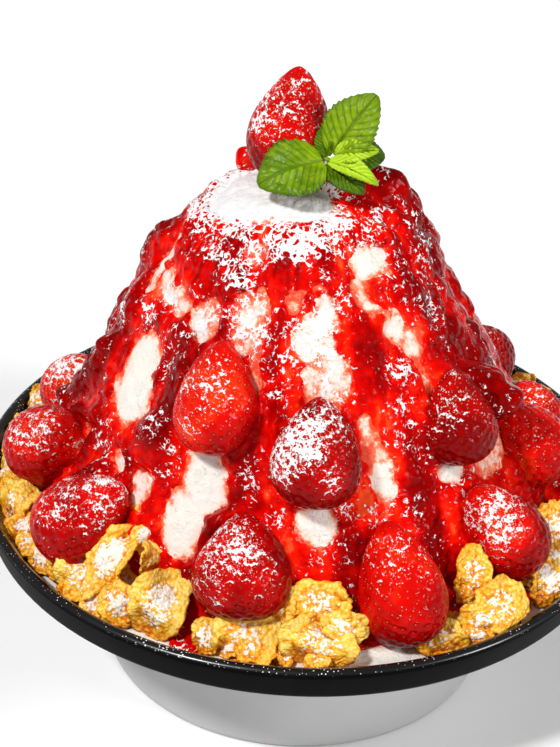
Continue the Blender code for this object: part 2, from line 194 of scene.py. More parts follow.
# Bare places, where the ice shows: azimuth, level, half width, half height, and how pink the
# sauce that has soaked in leaves them.
BARE = [
    (-62, 127, 8.5, 9, 0), (-60, 117, 12, 9.5, 0), (-66, 148, 8, 4, 0.25),
    (-56, 148.5, 6.5, 4.5, 0.3), (-39, 147.5, 4.5, 5.5, 0.3), (-83, 150, 5, 9, 0),
    (-19.5, 150, 5.2, 9, 0.45), (-14, 138, 2.2, 7, 0.3), (-25, 168, 2.8, 3.4, 0.5),
    (-1, 157.5, 2.6, 3.2, 0.3), (14.5, 154.5, 4.2, 5, 0.35), (7.5, 147, 6, 8, 0.28),
    (11, 136, 8, 7, 0.36), (44, 165, 8, 4.6, 0), (33, 159, 2.8, 5, 0.2),
    (43, 146.5, 4.2, 3.4, 0.1), (49, 141, 3.4, 4, 0.3), (24.5, 108, 4.2, 10, 0.15),
    (23, 120, 1.9, 5, 0.4), (4.5, 97, 6.6, 6.4, 0.05), (46, 102, 5, 5, 0.05),
    (64, 99, 12, 6.5, 0.5), (75, 92.5, 2.6, 4.4, 0.1), (-25.5, 105, 8.4, 9.5, 0),
    (-29, 91, 6.4, 12, 0), (-44, 93, 4.4, 6.5, 0.05), (-52.5, 98.5, 2.8, 4, 0.1),
    (-71, 88, 3.6, 7, 0.1), (48, 128, 1.7, 4.5, 0.4),
    (98, 132, 5, 11, 0.2), (112, 158, 4, 6, 0.3), (122, 138, 4, 8, 0.2), (128, 126, 7, 6, 0.1),
    (139, 98, 5, 12, 0), (146, 88, 6, 5, 0.1), (168, 150, 6, 6, 0.1), (160, 142, 3, 8, 0.4),
    (176, 120, 4, 9, 0.2), (178, 88, 5, 10, 0.1), (-166, 140, 3, 7, 0.4), (-160, 131, 7, 5, 0.1),
    (-150, 112, 5, 13, 0), (-142, 100, 6, 5, 0.2), (-140, 156, 6, 4, 0.2), (-132, 148, 3, 8, 0.3),
    (-112, 134, 5, 9, 0.1), (-118, 122, 7, 5, 0.1), (-122, 88, 5, 8, 0.1), (152, 116, 3, 6, 0.4),
]
# Thick, dark runs of sauce: azimuth and level from and to, half width, and how thick.
RUNS = [
    (-31, 166, -29, 149, 5.5, 2.4), (-36, 145, -42.5, 113, 5.2, 3.6), (-6, 164, -12, 140, 6, 0.7),
    (-15, 113, -21, 90, 5.0, 2.2), (-24, 84, -27, 58, 5.0, 2.4), (12, 92, 13, 60, 4.6, 1.8),
    (32, 100, 37, 60, 5.5, 1.8), (30, 150, 25, 133, 5, 1.2), (36, 130, 34, 108, 6, 1.0),
    (66, 134, 72, 108, 8, 2.0), (80, 126, 78, 96, 7, 1.8), (-52, 90, -46, 76, 5, 1.6),
    (-82, 140, -88, 100, 6, 2.0), (-68, 92, -80, 66, 5, 1.8), (60, 160, 62, 140, 7, 0.9),
    (-16, 78, -19, 50, 4, 1.8), (41, 78, 44, 56, 4, 1.8), (88, 160, 90, 92, 6, 1.4),
    (-52, 99, -66, 74, 4.6, 8), (-82, 118, -93, 90, 4.6, 7), (-71, 100, -79, 96, 4, 4),
    (118, 160, 122, 78, 7, 1.8), (150, 164, 146, 76, 6, 1.8), (180, 140, 166, 78, 6, 1.8),
    (-158, 164, -164, 72, 7, 2.0), (-130, 150, -136, 74, 6, 1.8), (-100, 152, -108, 84, 6, 1.8),
]
# Round lobes of fruit and sauce: azimuth, level, radius, and how far they stand out.
LOBES = [
    (-43, 107.5, 10, 4.8), (12, 163, 9.5, 2.4), (-30, 158, 7, 1.8), (-55, 156, 10, 1.4),
    (-73, 162, 8, 2.4), (-76, 150, 5, 2.2), (-84, 136, 9.5, 2.8), (86, 171, 9, 4.2),
    (79, 162, 8.5, 3.4), (76, 149, 9.5, 2.6), (78, 136, 7, 2.6), (80, 124, 9.5, 2.6),
    (100, 160, 9, 3.2), (118, 140, 9, 2.6), (138, 168, 8, 3.6), (165, 168, 9, 3.4),
    (-160, 170, 8, 3.6), (-128, 138, 8, 3.0), (-98, 154, 7, 1.8), (-110, 112, 8, 2.6),
    (-107, 144, 10, 4.0), (-108, 122, 9, 2.2), (108, 171, 10, 4.2), (110, 158, 10, 4.0),
    (106, 147, 8, 2.4), (109, 127, 11, 2.6), (108, 111, 10, 3.6), (60, 168, 6, 1.8),
    (-6, 165, 6, 1.0), (38, 133, 7, 1.2), (58, 152, 8, 1.2), (92, 176, 8, 4.6),
    (100, 168, 9, 5.0), (97, 152, 9, 4.0), (-98, 148, 8, 2.6), (-92, 85, 6, 3.0),
    (65, 118, 9.5, 15), (65.5, 110, 8, 9),
]
# Where the sauce runs out over the level ice: azimuth, half angle, and how far out it gets.
POOLS = [
    (-20.5, 6.5, 101), (47, 4, 94), (14, 2.5, 90), (88, 8, 96), (137, 8, 95), (-166, 9, 97),
    (-116, 8, 95), (-66, 6, 98), (110, 6, 92), (50.5, 4, 99),
]
# The strawberries on the mound: azimuth, level of the centre, length, width, spin of the tip,
# stand off the ice, lean of the tip outwards; then how dusted, and how ripe from dark to bright.
BERRIES = {
    "mid_left": (-24.5, 128.5, 36, 27, -4, 5.0, 4, 0.70, 0.62),
    "centre": (6, 117, 35, 29, 2, 6.0, 6, 1.05, 0.22),
    "mid_right": (52, 116.5, 31, 26, 14, 4.5, 4, 0.60, 0.10),
    "low_left": (-52.5, 79, 38, 30, 34, 6.5, 0, 0.78, 0.36),
    "left": (-80, 82, 34, 28, 30, 6.0, 0, 0.72, 0.42),
    "low_centre": (-12, 83.5, 34, 30, -3, 5.0, 2, 0.84, 0.3),
    "low_right": (22, 78.5, 41, 27, -6, 7.0, 2, 0.58, 0.52),
    "right": (51.5, 82, 37, 28, -24, 6.0, 0, 0.68, 0.42),
    "far_right": (80, 92, 32, 28, -18, 4.0, 0, 0.5, 0.6),
    "rear_right_small": (98, 88, 26, 22, -12, 4.0, 0, 0.62, 0.5),
    "rear_right": (121, 94, 28, 23, -14, 1.0, 4, 0.5, 0.2),
    "rear_left_small": (-104, 85, 29, 23, 22, 4.0, 0, 0.95, 0.6),
    "back_a": (139, 78, 33, 27, 8, 5.5, 4, 0.7, 0.5),
    "back_b": (150, 128, 32, 27, -10, 5.0, 4, 0.9, 0.5),
    "back_c": (165, 84, 36, 28, 6, 6.0, 0, 0.7, 0.6),
    "back_d": (-168, 112, 33, 28, 4, 5.5, 4, 0.8, 0.4),
    "back_e": (-150, 80, 35, 27, -12, 6.0, 0, 0.7, 0.6),
    "back_f": (-138, 112, 32, 26, 8, 4.0, 4, 0.8, 0.5),
}
CAP_LEVEL = 175.2
# Lobes that stand out this far are smooth, but streaked again from the second one on.
SMOOTH_LOBE = 3.5
STREAKED_LOBE = 12.0
# How thick the sauce lies round a strawberry's foot, how far to each side, and how far out from
# the strawberry's middle its foot is, as a share of its size.
COLLAR = 2.4
COLLAR_WIDTH = 3.2
COLLAR_REACH = 0.46
SAUCE_PAST_FOOT = 2.5
DROP_PLACE = (-131, 175.5)
DROP_SIZE = (8.6, 7.5, 9.6)
DROP_LIFT = 3.8

shape_grain = Grain(5)
edge_grain = Grain(11)


def bare_depth(azimuth, level, radius):
    """Distance in from the nearest bare place's edge, negative inside it, and its pinkness."""
    away = np.full(len(azimuth), 99.0)
    pink = np.zeros(len(azimuth))
    places = np.stack([radius * np.sin(np.radians(azimuth)), radius * np.cos(np.radians(azimuth)),
                       level], axis=1)
    behind = step_between(90, 120, np.abs(azimuth))
    warp = 1.5 + 6.5 * behind
    level = level + warp * edge_grain(places + 80, 13)
    sideways = warp * edge_grain(places + 130, 13)
    for middle, centre, half_width, half_height, stain in BARE:
        side = (round_to(azimuth, middle, radius) + sideways) / half_width
        rise = (level - centre) / half_height
        apart = (np.sqrt(side ** 2 + rise ** 2) - 1) * min(half_width, half_height)
        pink = np.where(apart < away, stain, pink)
        away = np.minimum(away, apart)
    return away, pink


def cap_edge(azimuth):
    """The level down to which the top stays bare. It reaches lower on the left."""
    left = np.exp(-(turn_between(azimuth, -82) / 38) ** 2)
    right = np.exp(-(turn_between(azimuth, 75) / 32) ** 2)
    behind = np.exp(-(turn_between(azimuth, 180) / 60) ** 2)
    far_left = np.exp(-(turn_between(azimuth, -122) / 20) ** 2)
    return CAP_LEVEL - 4.5 * left + 4.5 * right - 2 * behind + 3 * far_left


def sauce_edge(azimuth, level, radius, flat):
    """How far in from the sauce's edge a place is, and how pink the ice there is."""
    away, pink = bare_depth(azimuth, level, radius)
    cap = cap_edge(azimuth) - level
    pink = np.where(cap < away, 0.0, pink)
    away = np.minimum(away, cap)
    past_foot = np.full(len(azimuth), SAUCE_PAST_FOOT)
    for middle, half, out in POOLS:
        swell = np.exp(-(turn_between(azimuth, middle) / half) ** 2)
        further = (out - MOUND_FOOT - SAUCE_PAST_FOOT) * swell
        past_foot = np.maximum(past_foot, SAUCE_PAST_FOOT + further)
    away = np.minimum(away, MOUND_FOOT + past_foot - radius)
    uneven = 1.4 * edge_grain(flat, 7) + 1.2 * edge_grain(flat, 3.0) + 0.6 * shape_grain(flat, 1.6)
    return away + uneven, pink


def sauce_fields(azimuth, run):
    """How thick and how dark the sauce is, how far in from its edge a place is, how pink the
    ice there is, and how smooth the sauce is."""
    radius, _, _, _, level = slope_at(run)
    flat = on_mound(azimuth, run)
    away, pink = sauce_edge(azimuth, level, radius, flat)
    flow = down_flow(azimuth, run)
    streams = 0.75 * shape_grain(flow, 6.5) + 0.5 * edge_grain(flow + 30, 3.2)
    thick = 1.35 + 0.4 * shape_grain(flat, 16) + 0.3 * shape_grain(flat + 50, 7) + 0.8 * streams
    thick = np.maximum(thick, 0.25)
    for az_from, from_level, az_to, to_level, half_width, extra in RUNS:
        share = np.clip((from_level - level) / (from_level - to_level), 0, 1)
        middle = az_from + (az_to - az_from) * share
        past = np.maximum(0, np.maximum(level - from_level, to_level - level))
        side = round_to(azimuth, middle, radius)
        swell = np.exp(-((side / half_width) ** 2 + (past / half_width) ** 2) ** 1.3)
        thick = thick + extra * swell * (1 - 0.12 * thick)
    dark = thick + 0.5 * streams
    smooth = np.zeros(len(azimuth))
    for middle, centre, size, extra in LOBES:
        side = round_to(azimuth, middle, radius)
        apart = (side ** 2 + (level - centre) ** 2) / size ** 2
        swell = extra * np.clip(1 - apart, 0, 1) ** 0.8
        thick = thick + swell
        dark = dark + 0.15 * swell
        if SMOOTH_LOBE < extra < STREAKED_LOBE:
            smooth = np.maximum(smooth, swell / extra)
    thick = thick + berry_collars(azimuth, run, radius)
    return thick, dark, away, pink, smooth


def berry_collars(azimuth, run, radius):
    """How much thicker the sauce lies round each strawberry's foot."""
    collar = np.zeros(len(azimuth))
    for middle, centre, length, width, spin, *_ in BERRIES.values():
        side = round_to(azimuth, middle, radius)
        rise = run_at_level([centre])[0] - run
        lean = math.radians(spin)
        along = rise * math.cos(lean) + side * math.sin(lean)
        across = side * math.cos(lean) - rise * math.sin(lean)
        apart = np.hypot(along / (length * COLLAR_REACH), across / (width * COLLAR_REACH))
        off = (apart - 1) * width * COLLAR_REACH
        collar = np.maximum(collar, np.exp(-(off / COLLAR_WIDTH) ** 2))
    return COLLAR * collar


def sauce_lift(thick, away, smooth, places):
    """The sauce's surface above the ice, with its lumps. Negative where there is none."""
    edge = np.where(away > 0, 1 - np.exp(-np.maximum(away, 0) / 1.1), 0)
    below = np.where(away < 0, 1 - np.exp(np.minimum(away, 0) / 0.9), 0)
    lumps = (1.5 * np.abs(shape_grain(places + 9, 6.0)) + 0.6 * shape_grain(places + 70, 3.2)
             + 0.2 * edge_grain(places + 31, 1.7))
    return edge * (thick * 0.8 + lumps * (1 - 0.6 * smooth)) - 2.2 * below


# Places dusted with icing sugar: azimuth, level, half width, half height, and how heavily.
DUSTED = [
    (-19, 149, 7, 10, 0.75), (8, 147, 8, 10, 0.85), (11, 136, 8, 8, 0.6), (-39, 147, 6, 7, 0.6),
    (14, 155, 5, 5, 0.4), (-62, 147, 13, 5, 0.5), (-70, 138, 11, 4, 0.45), (-45, 166, 18, 5, 0.55),
    (-75, 168, 16, 5, 0.8), (-10, 170, 22, 4, 0.75), (25, 170, 16, 4, 0.7), (-28, 161, 9, 4, 0.4),
    (18, 158, 6, 7, 0.4), (33, 122, 6, 9, 0.4), (38, 136, 7, 6, 0.35),
    (55, 155, 12, 9, 0.36), (62, 146, 9, 9, 0.34), (80, 160, 9, 12, 0.35),
    (-47, 131, 6, 6, 0.3), (-12, 108, 4, 7, 0.42), (-86, 132, 7, 7, 0.5), (-42, 116, 5, 5, 0.3),
    (55, 170, 12, 4, 0.5), (85, 118, 8, 12, 0.35), (-50, 142, 8, 6, 0.35), (20, 98, 6, 5, 0.3),
    (-62, 100, 9, 8, 0.35), (-6, 131, 3, 5, 0.4), (29, 98, 5, 6, 0.3), (-20, 72, 9, 7, 0.3),
    (120, 160, 16, 12, 0.5), (160, 165, 20, 8, 0.6), (-150, 165, 20, 8, 0.6),
    (-115, 150, 14, 12, 0.45), (150, 110, 9, 10, 0.35), (-175, 100, 9, 9, 0.35),
    (-135, 100, 8, 9, 0.35), (105, 105, 8, 9, 0.35),
]


def dusting(azimuth, run, places):
    """How heavily the mound is dusted with icing sugar. It may pass 0 and 1."""
    radius, _, _, _, level = slope_at(run)
    below = cap_edge(azimuth) - level
    heavy = 0.06 + 0.16 * edge_grain(places, 9)
    ring = 0.62 - 0.45 * np.exp(-(turn_between(azimuth, 88) / 28) ** 2)
    heavy = np.maximum(heavy, np.where(below < 0, 1.6, ring * np.exp(-(below / 7.5) ** 2)))
    for middle, centre, half_width, half_height, amount in DUSTED:
        side = round_to(azimuth, middle, radius) / half_width
        rise = (level - centre) / half_height
        heavy = np.maximum(heavy, 0.72 * amount * np.exp(-(side ** 2 + rise ** 2) ** 1.2))
    return heavy * (0.9 + 0.45 * edge_grain(places + 40, 5))


# ---------------------------------------------------------------- making and placing meshes

WELD = 0.02


def select_only(piece):
    bpy.ops.object.select_all(action="DESELECT")
    piece.select_set(True)
    bpy.context.view_layer.objects.active = piece


def in_edit_mode(piece, *steps):
    """Runs edit-mode operators on the whole of a piece."""
    select_only(piece)
    bpy.ops.object.mode_set(mode="EDIT")
    bpy.ops.mesh.select_all(action="SELECT")
    for step in steps:
        step()
    bpy.ops.object.mode_set(mode="OBJECT")


def weld():
    bpy.ops.mesh.remove_doubles(threshold=WELD * MM)


def face_out():
    bpy.ops.mesh.normals_make_consistent(inside=False)


def corners(piece):
    """A piece's points, as an array of rows."""
    values = np.empty(len(piece.data.vertices) * 3, np.float32)
    piece.data.vertices.foreach_get("co", values)
    return values.reshape(-1, 3).astype(float)


def place_mesh(piece, places):
    """Moves a piece's points to these places, in millimetres."""
    piece.data.vertices.foreach_set("co", (places * MM).astype(np.float32).ravel())
    piece.data.update()


def mark(piece, **marks):
    """Stores one number for each point under each name, for the finish to read."""
    for name, values in marks.items():
        layer = piece.data.attributes.new(name, "FLOAT", "POINT")
        values = np.broadcast_to(np.asarray(values, np.float32), len(piece.data.vertices))
        layer.data.foreach_set("value", np.ascontiguousarray(values))


def mark_place(piece, name, places):
    """Stores one place for each point, in metres."""
    layer = piece.data.attributes.new(name, "FLOAT_VECTOR", "POINT")
    layer.data.foreach_set("vector", (places * MM).astype(np.float32).ravel())


def new_grid(name, columns, rows):
    """A grid from the grid primitive, and its points' shares across and along, from 0 to 1."""
    bpy.ops.object.select_all(action="DESELECT")
    bpy.ops.mesh.primitive_grid_add(x_subdivisions=columns, y_subdivisions=rows, size=1)
    piece = bpy.context.object
    piece.name = piece.data.name = name
    places = corners(piece)
    return piece, places[:, 0] + 0.5, places[:, 1] + 0.5


def new_ball(name, segments, rings):
    """A ball 1 across."""
    bpy.ops.object.select_all(action="DESELECT")
    bpy.ops.mesh.primitive_uv_sphere_add(segments=segments, ring_count=rings, radius=0.5)
    ball = bpy.context.object
    ball.name = ball.data.name = name
    return ball


def give_wall(piece, thickness, offset):
    """Turns a sheet into a closed wall this many millimetres thick."""
    select_only(piece)
    wall = piece.modifiers.new("wall", "SOLIDIFY")
    wall.thickness = thickness * MM
    wall.offset = offset
    bpy.ops.object.modifier_apply(modifier=wall.name)


def copy_of(piece, name):
    made = piece.copy()
    made.data = piece.data.copy()
    made.name = made.data.name = name
    bpy.context.scene.collection.objects.link(made)
    return made


def join(pieces, name):
    bpy.ops.object.select_all(action="DESELECT")
    for piece in pieces:
        piece.select_set(True)
    bpy.context.view_layer.objects.active = pieces[0]
    bpy.ops.object.join()
    made = bpy.context.object
    made.name = made.data.name = name
    return made


def finish_piece(piece, material, slot, *nodes):
    """Gives a piece its finish, its body and the CAD nodes that it stands for."""
    piece.data.materials.clear()
    piece.data.materials.append(material)
    piece.data.shade_smooth()
    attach(piece, "root")
    if nodes:
        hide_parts(*nodes)


# ---------------------------------------------------------------- shader maths

def maths(operation, swapped=False):
    """An operator that adds one Math node, with its two values in this order or swapped."""
    def apply(self, other):
        return self.math(operation, *((other, self) if swapped else (self, other)))
    return apply


class Signal:
    """A shader socket that takes part in arithmetic. Each operator adds one Math node."""

    def __init__(self, finish, socket):
        self.finish = finish
        self.socket = socket

    def math(self, operation, *values, clamp=False):
        node = self.finish.node("ShaderNodeMath", {"operation": operation, "use_clamp": clamp},
                                dict(enumerate(values)))
        return node.out(0)

    __add__ = __radd__ = maths("ADD")
    __sub__ = maths("SUBTRACT")
    __rsub__ = maths("SUBTRACT", swapped=True)
    __mul__ = __rmul__ = maths("MULTIPLY")
    __truediv__ = maths("DIVIDE")
    at_most = maths("MINIMUM")

    def clamped(self):
        return self.math("ADD", self, 0.0, clamp=True)

    def size(self):
        return self.math("ABSOLUTE", self)

    def step(self, low, high):
        """0 below low, 1 above high, smooth between."""
        node = self.finish.node("ShaderNodeMapRange", {"interpolation_type": "SMOOTHSTEP"},
                                {"Value": self, "From Min": low, "From Max": high})
        return node.out("Result")


class Node:
    """One shader node of a finish."""

    def __init__(self, finish, made):
        self.finish = finish
        self.made = made

    def out(self, name):
        return Signal(self.finish, self.made.outputs[name])


class Finish:
    """A material built round its Principled shader."""

    def __init__(self, name, **fixed):
        self.material = bpy.data.materials.new(name)
        self.material.use_nodes = True
        self.tree = self.material.node_tree
        self.shader = self.tree.nodes["Principled BSDF"]
        for socket, value in fixed.items():
            self.shader.inputs[socket.replace("_", " ")].default_value = value

    def node(self, kind, settings=None, sockets=None):
        made = self.tree.nodes.new(kind)
        for key, value in (settings or {}).items():
            setattr(made, key, value)
        for key, value in (sockets or {}).items():
            self.feed(made.inputs[key], value)
        return Node(self, made)

    def feed(self, socket, value):
        if isinstance(value, Signal):
            self.tree.links.new(value.socket, socket)
        else:
            socket.default_value = value

    def set(self, **values):
        for key, value in values.items():
            self.feed(self.shader.inputs[key.replace("_", " ")], value)

    def place(self):
        return self.node("ShaderNodeTexCoord").out("Object")

    def height(self):
        """Height above the ground in millimetres."""
        return self.node("ShaderNodeSeparateXYZ", {}, {"Vector": self.place()}).out("Z") / MM

    def marked(self, name):
        """A number stored on the piece's points."""
        return self.node("ShaderNodeAttribute", {"attribute_name": name}).out("Fac")

    def upward(self):
        """How much the surface looks up, from -1 to 1."""
        normal = self.node("ShaderNodeNewGeometry").out("Normal")
        return self.node("ShaderNodeSeparateXYZ", {}, {"Vector": normal}).out("Z")

    def flow(self):
        """The place that is stored on the sauce's points, along its streams."""
        return self.node("ShaderNodeAttribute", {"attribute_name": "flow"}).out("Vector")

    def grain(self, size, detail=2.0, roughness=0.5, shift=0.0, place=None):
        """Noise from 0 to 1 with lumps of this size in millimetres."""
        where = self.node("ShaderNodeVectorMath", {"operation": "ADD"},
                          {0: place or self.place(), 1: (shift, shift, shift)}).out("Vector")
        return self.node("ShaderNodeTexNoise", {}, {
            "Vector": where, "Scale": 0.5 / (size * MM), "Detail": detail,
            "Roughness": roughness}).out("Fac")

    def threads(self, size, **how):
        """Noise folded about its middle: 0 along thin crinkled threads, larger off them."""
        return (self.grain(size, **how) - 0.5).size()

    def cells(self, size, swirl):
        """Distance to the nearest middle of cells of this size, swirled this far, in cells."""
        where = self.place()
        noise = self.node("ShaderNodeTexNoise", {}, {
            "Vector": where, "Scale": 0.4 / (size * MM), "Detail": 2.0}).out("Color")
        bend = self.node("ShaderNodeVectorMath", {"operation": "SCALE"},
                         {0: noise, "Scale": swirl * MM}).out("Vector")
        where = self.node("ShaderNodeVectorMath", {"operation": "ADD"},
                          {0: where, 1: bend}).out("Vector")
        return self.node("ShaderNodeTexVoronoi", {"feature": "F1"},
                         {"Vector": where, "Scale": 1 / (size * MM)}).out("Distance")

    def mix(self, share, first, second, blend="MIX"):
        """One colour to another by a share from 0 to 1."""
        node = self.node("ShaderNodeMix", {"data_type": "RGBA", "blend_type": blend})
        inputs = [s for s in node.made.inputs if s.enabled]
        for socket, value in zip(inputs, (share, first, second)):
            self.feed(socket, value if isinstance(value, (Signal, float, int)) else (*value, 1))
        return Signal(self, next(s for s in node.made.outputs if s.enabled))

    def ramp(self, share, stops):
        """A colour ramp: pairs of place and colour."""
        node = self.node("ShaderNodeValToRGB", {}, {"Fac": share})
        steps = node.made.color_ramp.elements
        while len(steps) < len(stops):
            steps.new(0.5)
        for element, (place, colour) in zip(steps, stops):
            element.position = place
            element.color = (*colour, 1)
        return node.out("Color")

    def bump(self, height, depth, base=None):
        """A normal from a height from 0 to 1 that stands this many millimetres deep."""
        sockets = {"Height": height, "Distance": depth * MM, "Strength": 1.0}
        if base:
            sockets["Normal"] = base
        return self.node("ShaderNodeBump", {}, sockets).out("Normal")


def sugar_cover(finish, amount):
    """Where icing sugar lies: short crinkled threads that close to a crust as it rises."""
    first = finish.threads(1.3, detail=1.0, shift=0.9)
    second = finish.threads(1.8, detail=1.0, shift=0.4) + 0.01
    third = finish.threads(1.5, detail=1.0, shift=0.2) + 0.01
    threads = first.at_most(second).at_most(third) * 4.8
    patchy = finish.grain(1.0, detail=1.5, roughness=0.6, shift=0.7)
    broad = finish.grain(4.5, detail=2.0, shift=0.3)
    reach = amount * 0.85 + (patchy - 0.5) * 0.9 + (broad - 0.5) * 0.5 - 0.12
    return (reach - threads).step(0.0, 0.06)


SUGAR = (0.93, 0.90, 0.90)
SUGAR_ON_ICE = (0.92, 0.90, 0.90)
SUGAR_ON_FLAKES = (0.98, 0.92, 0.86)


def sauce_finish():
    finish = Finish("sauce", Specular_IOR_Level=0.045)
    depth = finish.marked("depth")
    smooth = finish.marked("smooth")
    ridges = finish.threads(2.6, detail=1.2, shift=0.2) * 2.4
    fine = finish.grain(0.8, detail=3.0, roughness=0.65)
    streaks = finish.grain(2.4, detail=3.0, shift=0.6, place=finish.flow()) - 0.5
    patchy = (finish.grain(5, detail=3.0) - 0.5) * 0.8 + (
        finish.grain(1.4, detail=3.0, shift=0.1) - 0.5) * 0.4 + streaks * 0.8
    # The colour deepens along the creases between the ridges: painted shade there, and thicker
    # sauce too.
    colour = finish.ramp(depth + patchy * (1 - 0.5 * smooth) + 0.24 - ridges * 0.32, [
        (0.00, (0.96, 0.075, 0.016)), (0.12, (0.90, 0.014, 0.002)), (0.30, (0.72, 0.002, 0.0005)),
        (0.52, (0.42, 0.0004, 0.0004)), (0.75, (0.25, 0.0003, 0.0004)),
        (1.00, (0.16, 0.0002, 0.0004)),
    ])
    worn = (finish.marked("edge") * 1.1 - 0.85 + (fine - 0.5) * 1.6).step(0.0, 0.3)
    colour = finish.mix(worn * 0.5, colour, (0.97, 0.30, 0.17))
    sugar = sugar_cover(finish, finish.marked("sugar"))
    lumps = finish.grain(1.5, detail=0.6, roughness=0.4)
    finish.set(Base_Color=finish.mix(sugar, colour, SUGAR), Roughness=0.08 + 0.75 * sugar)
    relief = (ridges * 0.4 + lumps * 0.9) * (1 - 0.7 * smooth) + streaks * 0.5
    finish.set(Normal=finish.bump(relief + sugar * 0.12, 1.5))
    return finish.material


def ice_finish():
    finish = Finish("milk_ice", Roughness=0.6, Specular_IOR_Level=0.35)
    stain = finish.marked("stain")
    fine = finish.grain(0.9, detail=4.0, roughness=0.7)
    coarse = finish.grain(4.0, detail=3.0, shift=0.2)
    snow = finish.mix(coarse.step(0.35, 0.7), (0.85, 0.815, 0.72), (0.90, 0.88, 0.825))
    blotches = (fine - 0.5) * 1.2 + (coarse - 0.5) * 1.2
    soaked = (stain * 0.9 + (stain * 2.6 + 0.05) * blotches).clamped()
    pink = finish.ramp(soaked, [
        (0.0, (0.95, 0.92, 0.86)), (0.34, (0.97, 0.70, 0.58)), (0.60, (0.95, 0.22, 0.09)),
        (1.0, (0.85, 0.06, 0.02)),
    ])
    colour = finish.mix(soaked.step(0.0, 0.2), snow, pink)
    sugar = sugar_cover(finish, finish.marked("sugar"))
    finish.set(Base_Color=finish.mix(sugar, colour, SUGAR_ON_ICE))
    finish.set(Normal=finish.bump(fine * 0.8 + coarse * 0.9 + sugar * 0.2, 1.0))
    return finish.material


def berry_finish():
    finish = Finish("strawberry", Specular_IOR_Level=0.10)
    seed = finish.marked("seed")
    shade = finish.marked("shade")
    mottle = finish.grain(2.2, detail=3.0)
    broad = finish.grain(7, detail=2.0, shift=0.1)
    # The skin's colour: ripeness and blotches, with painted shade from the marks, lighter towards
    # the key light.
    skin = finish.ramp(shade + (mottle - 0.5) * 0.6 + (broad - 0.5) * 0.8, [
        (0.0, (0.20, 0.0004, 0.0008)), (0.35, (0.42, 0.001, 0.001)), (0.65, (0.70, 0.003, 0.001)),
        (1.0, (0.88, 0.045, 0.004)),
    ])
    # Painted shade in the pits round the seeds: the skin is darker there.
    pit = 1 - seed.step(0.3, 1.1)
    skin = finish.mix(pit * 0.35, skin, (0.20, 0.001, 0.001))
    pip = 1 - seed.step(0.22, 0.40)
    skin = finish.mix((pip * (0.1 + 1.0 * shade)).clamped(), skin, (0.86, 0.26, 0.04))
    amount = finish.marked("sugar")
    fine = finish.grain(0.5, detail=3.0, roughness=0.7)
    patchy = finish.grain(2.4, detail=2.0, shift=0.5)
    crust = finish.threads(0.9, detail=3.0, roughness=0.7, shift=0.8) * 5.0
    sugar = ((amount * (0.4 + 1.3 * patchy)).at_most(1.3) + finish.marked("crest") * patchy * 0.75
             + seed.step(0.4, 1.4) * 0.25 - 0.88 - crust * 0.8 + (fine - 0.5) * 1.4).step(0.0, 0.12)
    finish.set(Base_Color=finish.mix(sugar, skin, SUGAR), Roughness=0.13 + 0.65 * sugar)
    finish.set(Normal=finish.bump(mottle + sugar * 0.3, 0.5))
    return finish.material


def flake_finish():
    finish = Finish("cornflake", Specular_IOR_Level=0.25)
    hollow = finish.marked("hollow")
    tint = finish.marked("tint")
    fine = finish.grain(0.8, detail=3.0, roughness=0.6)
    bubbles = finish.cells(1.25, swirl=0.6)
    rim = finish.marked("rim")
    toast = rim.step(0.90, 1.0) * 0.34 - rim.step(0.6, 0.85) * 0.16
    # Painted shade: flakes lying low by the ice, sides that face down, and the creases between
    # blisters (hollow, bubbles) are darker. The toasted rim, tint and grain are the flake's own
    # colour.
    low = (1 - finish.height().step(ICE_LEVEL + 1, ICE_LEVEL + 8)) * 0.42
    under = (0.15 - finish.upward()).step(0.0, 0.7) * 0.35
    depth = hollow * 0.5 + bubbles * 0.7 + fine * 0.3 + tint * 0.20 + toast + low + under - 0.36
    colour = finish.ramp(depth, [
        (0.0, (1.0, 0.72, 0.17)), (0.30, (1.0, 0.55, 0.045)), (0.56, (0.88, 0.30, 0.006)),
        (1.0, (0.42, 0.075, 0.001)),
    ])
    patchy = finish.grain(3.5, detail=2.0, shift=0.7)
    amount = finish.marked("heart") * (0.45 + 0.45 * finish.marked("powder")) * (0.5 + 1.0 * patchy)
    crust = finish.threads(1.0, detail=1.5, shift=0.6) * 4.0
    sugar = (amount * 1.05 + (finish.upward() - 0.6) * 0.2 - bubbles * 0.6 - crust * 0.7 - 0.02
             + (fine - 0.5) * 1.3).step(0.0, 0.12)
    finish.set(Base_Color=finish.mix(sugar * 0.92, colour, SUGAR_ON_FLAKES),
               Roughness=0.42 + 0.4 * sugar)
    finish.set(Normal=finish.bump(1 - bubbles + fine * 0.3 + sugar * 0.2, 0.5))
    return finish.material


def mint_finish():
    finish = Finish("mint", Specular_IOR_Level=0.18, Roughness=0.34)
    vein = finish.marked("vein")
    tone = finish.marked("tone")
    mottle = finish.grain(1.2, detail=3.0)
    blade = finish.ramp(tone + (mottle - 0.5) * 0.35, [
        (0.0, (0.030, 0.070, 0.0003)), (0.35, (0.105, 0.205, 0.0005)), (0.7, (0.25, 0.38, 0.003)),
        (1.0, (0.52, 0.74, 0.035)),
    ])
    # Painted shade: the sunken veins and midrib are darker green.
    finish.set(Base_Color=finish.mix((vein * 0.55).clamped(), blade, (0.075, 0.150, 0.001)))
    finish.set(Normal=finish.bump(mottle * 0.5, 0.25))
    return finish.material


